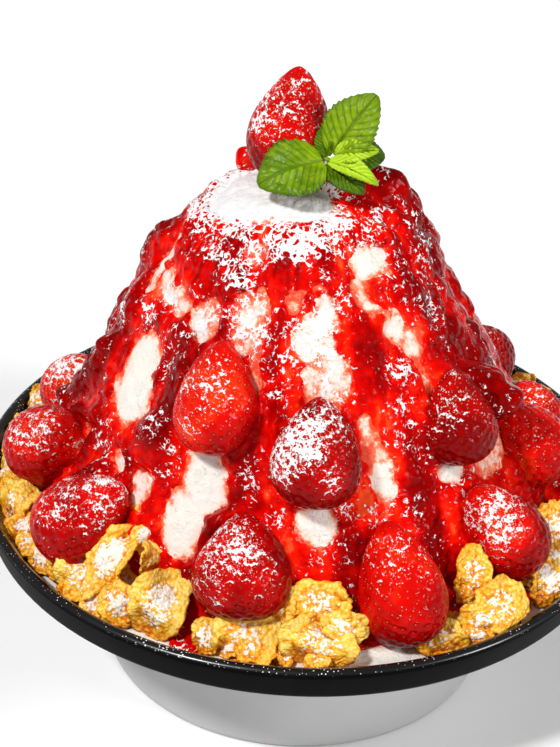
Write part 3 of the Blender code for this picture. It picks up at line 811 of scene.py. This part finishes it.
def bowl_finish():
    finish = Finish("bowl_glaze", Specular_IOR_Level=0.035, Coat_Roughness=0.26)
    parts = finish.node("ShaderNodeSeparateXYZ", {}, {"Vector": finish.place()})
    height = parts.out("Z") / MM
    radius = finish.node("ShaderNodeVectorMath", {"operation": "LENGTH"}, {
        0: finish.node("ShaderNodeCombineXYZ", {}, {
            "X": parts.out("X"), "Y": parts.out("Y")}).out("Vector")}).out("Value") / MM
    inside = finish.marked("inside")
    outside_grey = (1 - height.step(BAND_FOOT - 1.2, BAND_FOOT - 0.9)) * (1 - inside)
    smear = finish.grain(14, detail=4.0, roughness=0.6)
    black = finish.mix(smear.step(0.45, 0.75), (0.0012, 0.0012, 0.0012), (0.005, 0.0046, 0.0046))
    grey = finish.mix(smear, (0.42, 0.415, 0.42), (0.50, 0.495, 0.50))
    colour = finish.mix(outside_grey, black, grey)
    speck = finish.cells(1.1, swirl=0.8)
    fine = finish.grain(9, detail=3.0, shift=0.4)
    near = radius.step(RIM_RADIUS - 9, RIM_RADIUS - 6) * finish.upward().step(0.1, 0.5)
    dust = ((0.24 - speck) + (fine - 0.62) * 0.6).step(0.0, 0.05) * near
    colour = finish.mix(dust, colour, SUGAR)
    below_crest = (1 - height.step(RIM_HEIGHT - 3.2, RIM_HEIGHT - 1.6)) * (1 - inside)
    finish.set(Base_Color=colour, Roughness=0.07 + 0.38 * below_crest + 0.08 * smear + 0.4 * dust)
    crest = radius.step(RIM_RADIUS - 5, RIM_RADIUS - 3.5) * finish.upward().step(0.15, 0.55)
    finish.set(Coat_Weight=crest * (1 - dust))
    finish.set(Normal=finish.bump(smear * 0.15 + dust * 0.3, 0.5))
    return finish.material


# ---------------------------------------------------------------- the bowl

BAND_FOOT = RIM_HEIGHT - BAND_HEIGHT
# The heights between which the bowl's underside curves smoothly out from its foot.
UNDERSIDE = (12, 48)
SMOOTHINGS = 12


def bowl_profile():
    """Radius, height and 1 if inside, from the recess under the foot round to the floor."""
    outside = [
        (0.0, 3.0), (57.4, 3.0), (58.4, 2.4), (59.4, 0.5), (60.0, 0.0), (64.2, 0.0), (65.4, 0.5),
        (66.0, 1.6), (66.3, 12.0), (66.8, 22.0), (69.2, 30.0), (73, 34.5), (78, 37.9),
        (90, 44.8), (101, BAND_FOOT - 4.3), (105.4, BAND_FOOT - 1.3), (106.6, BAND_FOOT - 0.3),
        (107.5, BAND_FOOT + 0.6), (107.9, BAND_FOOT + 1.8), (108.8, RIM_HEIGHT - 6.5),
        (109.6, RIM_HEIGHT - 3.4), (RIM_RADIUS - 0.1, RIM_HEIGHT - 2.0), (109.6, RIM_HEIGHT - 0.9),
        (108.8, RIM_HEIGHT - 0.2), (107.7, RIM_HEIGHT - 0.02),
    ]
    inside = [
        (106.6, RIM_HEIGHT - 0.4), (105.6, RIM_HEIGHT - 1.4), (104.5, RIM_HEIGHT - 3.0),
        (101.2, 59.6), (96, 55.6), (90, 51.4), (78, 44.4), (66, 33), (58, 18), (49, 10.4),
        (0.0, 9.0),
    ]
    return [(r, z, 0) for r, z in outside] + [(r, z, 1) for r, z in inside]


def make_bowl():
    """The bowl: its profile, divided evenly and smoothed under the rim, turned round."""
    columns, rows = BOWL_GRID
    profile = np.array(bowl_profile(), float)
    run = np.concatenate([[0], np.cumsum(np.hypot(*np.diff(profile[:, :2], axis=0).T))])
    share = np.linspace(0, 1, rows + 1)
    share = np.unique(np.concatenate([share, run / run[-1]]))
    line = np.stack([np.interp(share * run[-1], run, profile[:, i]) for i in range(3)], axis=1)
    under = (line[:, 2] < 0.5) & (line[:, 1] > UNDERSIDE[0]) & (line[:, 1] < UNDERSIDE[1])
    for _ in range(SMOOTHINGS):
        between = line.copy()
        between[1:-1, :2] = (line[:-2, :2] + 2 * line[1:-1, :2] + line[2:, :2]) / 4
        line = np.where(under[:, None], between, line)
    bowl, across, along = new_grid("bowl_glazed", columns, len(share) - 1)
    index = np.round(along * (len(share) - 1)).astype(int)
    places = directions(across * 360) * line[index, :1]
    places[:, 2] = line[index, 1]
    place_mesh(bowl, places)
    mark(bowl, inside=line[index, 2])
    in_edit_mode(bowl, weld, face_out)
    finish_piece(bowl, bowl_finish(), "bowl_glaze", "bowl")
    bpy.context.view_layer.objects.active = bowl
    bpy.ops.object.shade_smooth_by_angle(angle=math.radians(45))


# ---------------------------------------------------------------- ice and sauce

# The sauce's thickness at which its colour starts to deepen, and the deepest that it gets.
PALEST = 0.55
DEEPEST = 0.62
# The coat's edge goes down this far into the ice.
SAUCE_ROOT = 1.4


def revolve_grid(name, grid):
    """A grid wrapped round the mound: a piece, its azimuths and its runs down the outline."""
    piece, across, along = new_grid(name, *grid)
    return piece, across * 360 - 180, along * OUTLINE_RUN[-1]


def make_ice():
    ice, azimuth, run = revolve_grid("shaved_ice", ICE_GRID)
    base = on_mound(azimuth, run)
    _, _, away, pink, _ = sauce_fields(azimuth, run)
    radius, _, _, _, level = slope_at(run)
    relief = (0.7 * shape_grain(base, 8) + 0.45 * shape_grain(base + 20, 3.2)
              + 0.25 * edge_grain(base, 1.5))
    steady = step_between(0, 6, run) * step_between(0, 5, BRIM_RADIUS - radius)
    on_level = step_between(MOUND_FOOT, MOUND_FOOT + 4, radius)
    relief *= steady * (1 - 0.7 * on_level)
    place_mesh(ice, on_mound(azimuth, run, relief))
    near = np.exp(-np.maximum(-away, 0) / 1.2)
    far = np.exp(-np.maximum(-away, 0) / 5.0)
    blotch = 0.5 + 0.9 * edge_grain(base + 15, 4.5)
    stain = np.clip(0.95 * near * (0.55 + 0.45 * blotch) + pink * (0.55 + 0.5 * blotch)
                    + 0.15 * far * blotch, 0, 1)
    stain = np.where(level < ICE_LEVEL + 1.0, stain * 0.6, stain)
    mark(ice, stain=stain, sugar=dusting(azimuth, run, base))
    in_edit_mode(ice, weld, face_out)
    finish_piece(ice, ice_finish(), "milk_ice", "milk_ice")


def make_sauce():
    sauce, azimuth, run = revolve_grid("strawberry_sauce_coat", SAUCE_GRID)
    base = on_mound(azimuth, run)
    thick, dark, away, _, smooth = sauce_fields(azimuth, run)
    lift = sauce_lift(thick, away, smooth, base)
    place_mesh(sauce, on_mound(azimuth, run, lift))
    inside = np.maximum(away, 0)
    depth = np.clip((dark - PALEST) / 4.3, 0, DEEPEST) * (1 - 0.75 * np.exp(-inside / 2.2))
    mark(sauce, depth=depth, edge=np.exp(-inside / 1.4), sugar=dusting(azimuth, run, base),
         smooth=smooth, kept=lift > -SAUCE_ROOT)
    mark_place(sauce, "flow", down_flow(azimuth, run))
    drop_unmarked(sauce, "kept")
    in_edit_mode(sauce, weld, face_out)
    finish = sauce_finish()
    finish_piece(sauce, finish, "sauce", "strawberry_sauce")
    make_drop(finish)


def make_drop(finish):
    """The small glazed piece that lies on the cap beside the top strawberry."""
    drop = new_ball("sauce_drop", *DROP_GRID)
    unit = corners(drop)
    unit *= (1 + 0.22 * shape_grain(unit + 3, 0.5))[:, None]
    azimuth, level = DROP_PLACE
    middle = on_mound(np.array([azimuth]), run_at_level([level]), np.array([DROP_LIFT]))
    places = unit * np.array(DROP_SIZE) + middle
    place_mesh(drop, places)
    mark(drop, depth=0.12, edge=0, sugar=0.1, smooth=0.8)
    mark_place(drop, "flow", places)
    in_edit_mode(drop, face_out)
    finish_piece(drop, finish, "sauce")


def drop_unmarked(piece, name):
    """Deletes the faces with no marked point, which lie inside the ice."""
    values = np.empty(len(piece.data.vertices), np.float32)
    piece.data.attributes[name].data.foreach_get("value", values)
    select_only(piece)
    bpy.ops.object.mode_set(mode="EDIT")
    bpy.ops.mesh.select_mode(type="FACE")
    bpy.ops.mesh.select_all(action="DESELECT")
    bpy.ops.object.mode_set(mode="OBJECT")
    for face in piece.data.polygons:
        face.select = not any(values[v] > 0.5 for v in face.vertices)
    bpy.ops.object.mode_set(mode="EDIT")
    bpy.ops.mesh.delete(type="FACE")
    bpy.ops.mesh.select_mode(type="VERT")
    bpy.ops.object.mode_set(mode="OBJECT")
    piece.data.attributes.remove(piece.data.attributes[name])


# ---------------------------------------------------------------- strawberries

# The strawberry on the cap: length, width, middle, its tilts, how dusted and how ripe.
CROWN = (37, 26.5, (-8.5, 7, 196), -8, 5, 0.72, 0.35)
CROWN_SEED = 40
SEEDS = 250
# The side the sugar falls from, which is also the key light's side: a strawberry is painted lighter
# towards it.
SUGAR_AND_LIGHT_FROM = (-0.40, -0.38, 0.83)
GOLDEN_ANGLE = math.radians(137.508)


def berry_radius(share):
    """Half width of a strawberry of width 2, from its hulled end at 0 to its tip at 1."""
    return np.sin(np.pi * np.clip(share, 0, 1) ** 0.74) ** 0.63


def berry_form():
    """A ball hulled end down, with its points' shares from the hulled end and angles round."""
    form = new_ball("berry_form", *BERRY_GRID)
    places = corners(form)
    share = np.arccos(np.clip(-places[:, 2] * 2, -1, 1)) / np.pi
    angle = np.arctan2(places[:, 1], places[:, 0])
    return form, share, angle


def seed_places(count):
    """Seeds spread evenly over a strawberry by the golden angle: shares and angles."""
    fine = np.linspace(0.02, 0.985, 400)
    area = np.cumsum(berry_radius(fine) + 0.12)
    area = (area - area[0]) / (area[-1] - area[0])
    share = np.interp((np.arange(count) + 0.5) / count, area, fine)
    rng = np.random.default_rng(60)
    share = np.clip(share + rng.uniform(-0.012, 0.012, count), 0.01, 0.99)
    angle = np.arange(count) * GOLDEN_ANGLE + rng.uniform(-0.07, 0.07, count)
    return share, angle % (2 * np.pi)


def berry_points(share, angle, length, width, seed):
    """Points of one strawberry in millimetres, uneven in its own way."""
    grain = Grain(seed)
    lopsided = 1 + 0.05 * np.cos(angle - seed) + 0.04 * np.cos(2 * angle + seed * 2)
    radius = width / 2 * berry_radius(share) * lopsided
    height = length * (share ** 1.12 - 0.5)
    places = np.stack([radius * np.cos(angle), radius * np.sin(angle), height], axis=1)
    length_out = np.linalg.norm(places, axis=1)[:, None]
    places += 0.5 * grain(places, 11)[:, None] * places / (length_out + 1)
    return places


def berry_turn(azimuth, level, spin, lean):
    """The turn that lays a strawberry on the slope with its tip uphill."""
    _, _, out_part, up_part, _ = slope_at(run_at_level([level]))
    out = Vector(directions(azimuth))
    normal = (out * out_part[0] + Vector((0, 0, up_part[0]))).normalized()
    uphill = (Vector((0, 0, out_part[0])) - out * up_part[0]).normalized()
    uphill.rotate(Matrix.Rotation(math.radians(-spin), 3, normal))
    side = uphill.cross(normal)
    uphill.rotate(Matrix.Rotation(math.radians(lean), 3, side))
    normal = side.cross(uphill)
    return Matrix((side, -normal, uphill)).transposed()


def make_berry(node, form, share, angle, seeds, length, width, centre, turn, dust, ripe, seed):
    """One strawberry: a pit round each seed, and marks for its seeds, its sugar, and its ripeness
    with painted shade.
    """
    berry = copy_of(form, node + "_fruit")
    own = berry_points(share, angle, length, width, seed)
    pips = berry_points(*seeds, length, width, seed)
    tree = kdtree.KDTree(len(pips))
    for i, pip in enumerate(pips):
        tree.insert(pip, i)
    tree.balance()
    found = [tree.find(place) for place in own]
    near = np.array([hit[2] for hit in found])
    outward = own / (np.linalg.norm(own, axis=1)[:, None] + 0.01)
    above = (own - pips[[hit[1] for hit in found]]) @ np.array(turn.transposed())
    crest = np.exp(-((near - 1.25) / 0.42) ** 2) * step_between(-0.1, 0.9, above[:, 2])
    pit = -0.8 * np.exp(-(near / 0.95) ** 2) + 0.4 * np.exp(-(near / 0.42) ** 2)
    own += outward * (pit + 0.2)[:, None]
    places = own @ np.array(turn.transposed()) + np.array(centre)
    place_mesh(berry, places)
    # Painted light and shade: the side towards the key light is painted lighter, and the far side
    # and the hulled end darker. The ripeness and blotches are the fruit's own colour.
    lit = outward @ np.array(turn.transposed()) @ np.array(SUGAR_AND_LIGHT_FROM)
    blotch = shape_grain(places, 9)
    shade = ripe + 0.34 * lit - 0.12 * step_between(0.35, 0.0, share) + 0.25 * blotch - 0.10
    mark(berry, crest=crest, seed=near, shade=shade,
         sugar=dust * (0.26 + 0.80 * lit + 0.45 * blotch))
    return berry


def make_berries():
    form, share, angle = berry_form()
    seeds = seed_places(SEEDS)
    finish = berry_finish()
    rows = []
    for i, (name, facts) in enumerate(BERRIES.items()):
        azimuth, level, length, width, spin, stand, lean, dust, ripe = facts
        centre = on_mound(np.array([azimuth]), run_at_level([level]), np.array([stand]))[0]
        turn = berry_turn(azimuth, level, spin, lean)
        rows.append((name, length, width, centre, turn, dust, ripe, i + 1))
    length, width, centre, tilt_x, tilt_y, dust, ripe = CROWN
    turn = (Matrix.Rotation(math.radians(tilt_x), 3, "X")
            @ Matrix.Rotation(math.radians(tilt_y), 3, "Y"))
    rows.append(("top", length, width, centre, turn, dust, ripe, CROWN_SEED))
    for name, *facts in rows:
        node = "strawberry_" + name
        berry = make_berry(node, form, share, angle, seeds, *facts)
        in_edit_mode(berry, face_out)
        finish_piece(berry, finish, "strawberry", node)
    bpy.data.objects.remove(form)


# ---------------------------------------------------------------- cornflakes

# Each bank's flakes: azimuth, radius and height of the middle, width and height across, how far
# the flake is tipped up, towards which azimuth it looks, and its turn.
FLAKES = {
    "left": [
        (-111.8, 101, 67, 12.5, 12.5, 62, -20, 0), (-101.8, 101.5, 66.5, 9.5, 9, 60, -20, 40),
        (-132, 102, 67, 9.5, 9, 60, -10, 0), (-94.8, 100, 65.5, 9, 10, 45, -30, 0),
        (-87, 99, 66, 15, 15, 40, -50, 20), (-75, 98.5, 66.5, 14, 18, 55, -40, 0),
        (-80.5, 98, 65.5, 13, 13, 40, -30, 40), (-68, 98, 65, 15, 14, 32, -50, 60),
    ],
    "front_left": [
        (-63, 97, 64.5, 14, 13, 28, -40, 30), (-57.3, 98.5, 65.5, 13, 12, 42, -30, 0),
        (-46.5, 97, 70, 17, 17, 52, -25, 0), (-42, 89, 76.5, 15, 22.5, 62, -28, -16),
        (-27.9, 93.7, 70, 18, 22.5, 58, -10, -14), (-35.3, 97.5, 68, 14, 13.5, 50, -20, 0),
        (-37.9, 79, 82, 11, 9.5, 60, 20, 30), (-45.1, 77.5, 84, 9.5, 8.5, 50, -20, 0),
        (-34.4, 83.8, 78, 8, 13, 72, 40, 10), (-40.1, 99.7, 65, 10, 9, 40, 0, 30),
        (-51, 94, 65.5, 16, 13, 30, -30, 20), (-38, 89, 67.5, 16, 14, 35, -20, 0),
        (-33, 92, 65, 14, 12, 25, -20, 0),
    ],
    "front": [
        (-17.1, 96, 66, 10, 11.5, 58, -14, 0), (-10.2, 94.4, 68, 20.5, 19, 58, -14, 0),
        (-4, 88.4, 68, 10, 8.5, 42, 20, 0), (3.7, 94.2, 67, 24.5, 17, 56, 4, -6),
        (9, 91.5, 71, 16.5, 10.5, 50, 20, -20), (4.3, 86, 76.4, 21, 14.5, 60, 0, 10),
        (-3.7, 87.5, 75.2, 11, 10.5, 62, -10, -30), (-5, 94, 62.5, 11, 9, 25, 0, 0),
        (8, 92, 63, 12, 10, 25, 20, 0), (0, 86, 66, 12, 10, 30, 0, 40),
    ],
    "front_right": [
        (28.1, 96, 63.8, 17, 12, 48, 15, -14), (36.8, 97.2, 66, 16.5, 14, 50, 10, 0),
        (40.9, 98, 70.5, 18, 16, 56, 15, 12), (38.7, 87.8, 77, 12, 19.5, 66, 10, -10),
        (33, 92, 64, 13, 10, 25, 20, 0), (44, 95, 64, 12, 11, 25, 40, 30),
    ],
    "right": [
        (54.6, 98.5, 68, 13.5, 17.5, 55, 30, -10), (63.4, 91.9, 77, 15.5, 17.5, 62, 30, 0),
        (59.6, 95.6, 69.5, 13, 12, 45, 40, 0), (70, 97, 66, 17, 15, 42, 60, 0),
        (78, 98, 66, 16, 15, 40, 80, 30), (74, 92, 70, 15, 14, 50, 60, 60),
        (66, 98, 65, 15, 13, 35, 50, 0),
    ],
    "back_right": [
        (98, 99, 65, 19, 17, 35, 100, 0), (104, 97, 67, 20, 18, 40, 90, 30),
        (112, 99, 65, 19, 17, 30, 120, 0), (106, 91, 69, 18, 17, 50, 110, 60),
        (119, 96, 67, 21, 18, 40, 115, 0), (127.3, 101, 67.5, 11, 9.5, 60, 10, 0),
        (113, 88, 68, 17, 17, 45, 110, 20), (122.1, 102, 66.5, 11, 9.5, 60, 0, 30),
    ],
    "back": [
        (148, 97, 66, 20, 18, 35, 150, 0), (155, 94, 68, 21, 18, 45, 140, 20),
        (162, 98, 65, 19, 17, 30, 170, 0), (169, 94, 68, 20, 18, 40, 160, 50),
        (176, 98, 65, 20, 17, 35, 180, 0), (158, 88, 70, 18, 16, 50, 160, 0),
        (173, 88, 69, 18, 16, 45, 175, 30), (180, 94, 66, 17, 17, 30, -170, 0),
    ],
    "back_left": [
        (-122, 99, 65, 18, 16, 30, -120, 0), (-129, 96, 68, 21, 18, 40, -130, 20),
        (-136, 99, 65, 19, 18, 30, -140, 0), (-133, 90, 70, 18, 18, 50, -130, 40),
        (-143, 95, 67, 20, 17, 40, -150, 0), (-150, 98, 65, 18, 16, 30, -150, 60),
        (-126, 90, 68, 17, 16, 40, -120, 0),
    ],
}
FLAKE_FORMS = 9
FLAKE_WALL = 1.0
BROKEN_PER_BANK = 7
BLISTERS = 170
# Past this radius a flake is drawn in by this share, to stay clear of the bowl's wall.
WALL_CLEAR = 104
WALL_SHARE = 0.8
# No flake reaches lower than this far above the level ice.
ICE_GAP = 0.4


def flake_form(seed):
    """One cornflake 1 across: a curled, blistered disc with an uneven edge."""
    form, across, along = new_grid(f"flake_form_{seed}", *FLAKE_GRID)
    grain = Grain(100 + seed)
    x, y = across * 2 - 1, along * 2 - 1
    reach = np.maximum(np.abs(x), np.abs(y))
    length = np.hypot(x, y)
    scale = np.where(length > 0, reach / np.maximum(length, 1e-6), 0)
    x, y = x * scale, y * scale
    angle = np.arctan2(y, x)
    ring = np.stack([np.cos(angle), np.sin(angle), np.full_like(angle, seed)], axis=1)
    edge = 1 + 0.16 * grain(ring, 0.9) + 0.14 * grain(ring, 0.36) + 0.09 * grain(ring, 0.15)
    x, y = x * edge * 0.52, y * edge * 0.52
    flat = np.stack([x, y, np.zeros_like(x)], axis=1)
    blister, hollow = blisters(x, y, seed)
    turn = np.cos(2 * angle + seed) * (x ** 2 + y ** 2)
    rim = step_between(0.7, 1.0, reach) * grain(ring + 4, 0.5)
    z = (0.42 * turn + 0.16 * grain(flat, 0.42) + 0.06 * grain(flat + 3, 0.2)
         + 0.10 * rim + blister)
    place_mesh(form, np.stack([x, y, z], axis=1) / MM)
    mark(form, hollow=hollow * step_between(1.02, 0.8, reach),
         heart=step_between(0.95, 0.25, reach), rim=reach)
    return form


def blisters(x, y, seed):
    """Rounded blisters side by side: their height, and how deep between them a place is."""
    rng = np.random.default_rng(300 + seed)
    middles = rng.uniform(-0.6, 0.6, (BLISTERS, 2))
    sizes = rng.uniform(0.75, 1.3, BLISTERS)
    apart = np.hypot(x[:, None] - middles[:, 0], y[:, None] - middles[:, 1]) / sizes
    ranked = np.sort(apart, axis=1)
    near, second = ranked[:, 0], ranked[:, 1]
    dome = np.sqrt(np.clip(1 - (near / 0.085) ** 2, 0.05, 1))
    crease = step_between(0.025, 0.0, second - near)
    return 0.040 * dome - 0.008 * crease, np.clip(1.1 - dome + 0.3 * crease, 0, 1)


def place_flake(node, number, form, facts, rng):
    """A copy of a flake's form, sized, turned and put where its facts say."""
    azimuth, radius, height, width, tall, tip, look, turn = facts
    piece = copy_of(form, f"{node}_{number}")
    places = corners(form) * np.array([width, tall, (width + tall) / 2])
    spin = Matrix.Rotation(math.radians(turn), 3, "Z")
    tilt = Matrix.Rotation(math.radians(tip), 3, "X")
    face = Matrix.Rotation(math.radians(look), 3, "Z")
    places = places @ np.array((face @ tilt @ spin).transposed())
    places += directions(azimuth) * radius + np.array([0, 0, height])
    over = np.maximum(np.hypot(places[:, 0], places[:, 1]) - WALL_CLEAR, 0)
    places[:, :2] *= (1 - over * WALL_SHARE / WALL_CLEAR)[:, None]
    places[:, 2] = np.maximum(places[:, 2], ICE_LEVEL + ICE_GAP)
    place_mesh(piece, places)
    mark(piece, tint=rng.uniform(-0.6, 0.7), powder=rng.uniform(0.0, 1.0))
    give_wall(piece, FLAKE_WALL, 0)
    return piece


def broken_flakes(flakes, rng):
    """Small broken flakes that lie low among a bank's whole ones."""
    first = min(facts[0] for facts in flakes)
    last = max(facts[0] for facts in flakes)
    return [(rng.uniform(first, last), rng.uniform(88, 100), ICE_LEVEL + rng.uniform(2.5, 4.5),
             rng.uniform(7, 12), rng.uniform(6, 10), rng.uniform(10, 50), rng.uniform(-60, 60),
             rng.uniform(0, 180)) for _ in range(BROKEN_PER_BANK)]


def make_flakes():
    forms = [flake_form(seed) for seed in range(FLAKE_FORMS)]
    finish = flake_finish()
    rng = np.random.default_rng(7)
    for name, flakes in FLAKES.items():
        node = "cornflakes_" + name
        facts_of_all = flakes + broken_flakes(flakes, rng)
        pieces = [place_flake(node, i, forms[(i * 4 + len(node)) % len(forms)], facts, rng)
                  for i, facts in enumerate(facts_of_all)]
        bank = join(pieces, node + "_flakes")
        finish_piece(bank, finish, "cornflake", node)
    for form in forms:
        bpy.data.objects.remove(form)


# ---------------------------------------------------------------- mint

# Leaves: base, tip, full width, the side that the face turns to, how folded, and its tone.
LEAVES = [
    ((1.5, -8, 191), (-18.5, -15.5, 186), 21, (-0.10, -0.62, 0.78), 0.15, 0.38),
    ((4.5, -5, 192), (17.2, 1.5, 210), 17.5, (-0.35, -0.90, 0.25), 0.25, 0.5),
    ((5.5, -5.5, 192), (18.5, -8, 195.5), 8, (-0.1, -0.75, 0.65), 0.5, 0.85),
    ((3.5, -8, 190.5), (19, -13.5, 186.5), 6.5, (0.15, -0.65, 0.75), 0.9, 0.95),
    ((6, -3, 190.5), (21.5, 0.5, 189.5), 12, (0.15, -0.75, 0.65), 0.2, 0.18),
    ((2.5, -8, 189.5), (15, -14, 183.5), 10, (0.10, -0.70, 0.70), 0.3, 0.2),
    ((3, -4, 190.5), (0.5, 0.5, 199.5), 6.5, (-0.2, -0.95, 0.2), 0.3, 0.22),
]
LEAF_WALL = 0.45
STEM_PATH = [(7.5, -4, 177), (6.0, -5, 184), (4.0, -6.2, 189.5), (2.5, -7, 191.6)]
STEM_RADIUS = 1.25


def make_leaf(name, base, tip, width, facing, fold, tone, seed):
    """One mint leaf: toothed edge, folded along its middle, puffed up between its veins."""
    leaf, across, along = new_grid(name, *LEAF_GRID)
    base = Vector(base)
    axis = Vector(tip) - base
    length = axis.length
    side = axis.normalized().cross(Vector(facing).normalized()).normalized()
    face = side.cross(axis).normalized()
    grain = Grain(200 + seed)
    s = across * 2 - 1
    outline = np.sin(np.pi * np.clip(0.035 + 0.95 * along, 0, 1) ** 0.80) ** 0.68
    saw = (along * 13 + 0.3 * np.sign(s)) % 1
    half = width / 2 * outline * (1 + 0.10 * (saw - 0.5) * step_between(0.6, 1.0, np.abs(s)))
    rank = (along - 0.30 * np.abs(s)) * 9
    vein = np.exp(-((rank % 1 - 0.5) / 0.10) ** 2) * step_between(0.03, 0.12, np.abs(s))
    twig = np.abs(((np.abs(s) * 5 + 0.5 * np.floor(rank + 0.5)) % 1) - 0.5) * 2
    twigs = 0.55 * step_between(0.86, 1.0, twig) * step_between(0.1, 0.2, np.abs(s))
    vein = np.maximum(vein, twigs)
    midrib = np.exp(-(s / 0.06) ** 2)
    flat = np.stack([s * half, along * length, np.full_like(s, seed * 7.0)], axis=1)
    puff = (1 - vein) * (1 - midrib) * step_between(1.0, 0.85, np.abs(s)) * outline
    quilt = 0.62 * puff + 0.45 * puff * grain(flat, 1.3)
    arch = 0.10 * length * np.sin(np.pi * along) - 0.06 * length * along ** 3
    lift = (arch + fold * half * np.abs(s) ** 1.4 - 0.10 * half * np.abs(s) ** 4
            + quilt - 0.3 * midrib + 0.45 * grain(flat, 4.5))
    middle = np.array(base)[None, :] + along[:, None] * np.array(axis)[None, :]
    places = middle + (s * half)[:, None] * np.array(side) + lift[:, None] * np.array(face)
    place_mesh(leaf, places)
    # The raised cells between the veins are painted lighter: painted light on the puffs. The blade
    # also darkens towards its edges and lightens towards its base.
    tones = (tone + 0.30 * (puff * 0.8 + grain(flat, 2.0) * 0.5 - 0.3) - 0.12 * np.abs(s)
             + 0.25 * step_between(0.3, 0.0, along))
    mark(leaf, vein=np.clip(0.6 * vein + midrib, 0, 1), tone=tones)
    give_wall(leaf, LEAF_WALL, -1)
    return leaf


def make_stem():
    """The short stem, a tapered round bar from the cap up to the leaves' node."""
    stem, across, along = new_grid("mint_stem", *STEM_GRID)
    at = along * (len(STEM_PATH) - 1)
    middle = np.stack([np.interp(at, range(len(STEM_PATH)), column)
                       for column in zip(*STEM_PATH)], axis=1)
    radius = (STEM_RADIUS - 0.3 * along) * np.where(along > 0.97, 0.05, 1)
    places = middle + directions(across * 360) * radius[:, None]
    place_mesh(stem, places)
    mark(stem, vein=0, tone=0.72)
    in_edit_mode(stem, weld, face_out)
    return stem


def make_mint():
    leaves = [make_leaf(f"mint_leaf_{i}", *facts, i) for i, facts in enumerate(LEAVES)]
    sprig = join([*leaves, make_stem()], "mint_leaves")
    in_edit_mode(sprig, face_out)
    finish_piece(sprig, mint_finish(), "mint", "mint_sprig")


# ---------------------------------------------------------------- stage, lights and camera

CAMERA_ELEVATION = math.radians(32)
CAMERA_ROLL = math.radians(2.6)
CAMERA_DISTANCE = 0.804
CAMERA_AIM = Vector((-0.0089, 0, 0.1066))
SENSOR = 36.0
LENS = 115.66
FLOOR_SIZE = 6
FLOOR_COLOUR = (0.92, 0.92, 0.92, 1)
WORLD_STRENGTH = 0.28
# The side that each sun shines from, its strength, and its disc in degrees across.
SUNS = {"key": ((-0.5, -0.55, 0.9), 2.75, 7), "fill": ((0.95, -0.45, 0.5), 1.6, 14)}


def add_camera():
    ahead = Vector((0, math.cos(CAMERA_ELEVATION), -math.sin(CAMERA_ELEVATION)))
    rise = Vector((0, math.sin(CAMERA_ELEVATION), math.cos(CAMERA_ELEVATION)))
    right = Vector((1, 0, 0))
    across = math.cos(CAMERA_ROLL) * right + math.sin(CAMERA_ROLL) * rise
    upright = -math.sin(CAMERA_ROLL) * right + math.cos(CAMERA_ROLL) * rise
    turn = Matrix((across, upright, -ahead)).transposed().to_4x4()
    turn.translation = CAMERA_AIM - CAMERA_DISTANCE * ahead
    data = bpy.data.cameras.new("camera")
    data.lens = LENS
    data.sensor_width = SENSOR
    camera = bpy.data.objects.new("camera", data)
    bpy.context.scene.collection.objects.link(camera)
    camera.matrix_world = turn
    bpy.context.scene.camera = camera


def add_sun(name, place, strength, spread):
    """A sun that shines from this side, its disc this many degrees across."""
    data = bpy.data.lights.new(name, "SUN")
    data.energy = strength
    data.angle = math.radians(spread)
    light = bpy.data.objects.new(name, data)
    bpy.context.scene.collection.objects.link(light)
    light.rotation_euler = Vector(place).to_track_quat("Z", "Y").to_euler()


def add_stage():
    bpy.ops.object.select_all(action="DESELECT")
    bpy.ops.mesh.primitive_plane_add(size=FLOOR_SIZE, location=(0, 0, 0))
    floor = bpy.context.object
    floor.name = "floor"
    finish = Finish("floor", Base_Color=FLOOR_COLOUR, Roughness=0.9)
    floor.data.materials.append(finish.material)
    world = bpy.data.worlds.new("studio")
    world.use_nodes = True
    backdrop = world.node_tree.nodes["Background"]
    backdrop.inputs["Color"].default_value = (1, 1, 1, 1)
    backdrop.inputs["Strength"].default_value = WORLD_STRENGTH
    bpy.context.scene.world = world
    for name, facts in SUNS.items():
        add_sun(name, *facts)
    bpy.context.scene.view_settings.view_transform = "Standard"


add_stage()
add_camera()
make_bowl()
make_ice()
make_sauce()
make_berries()
make_flakes()
make_mint()
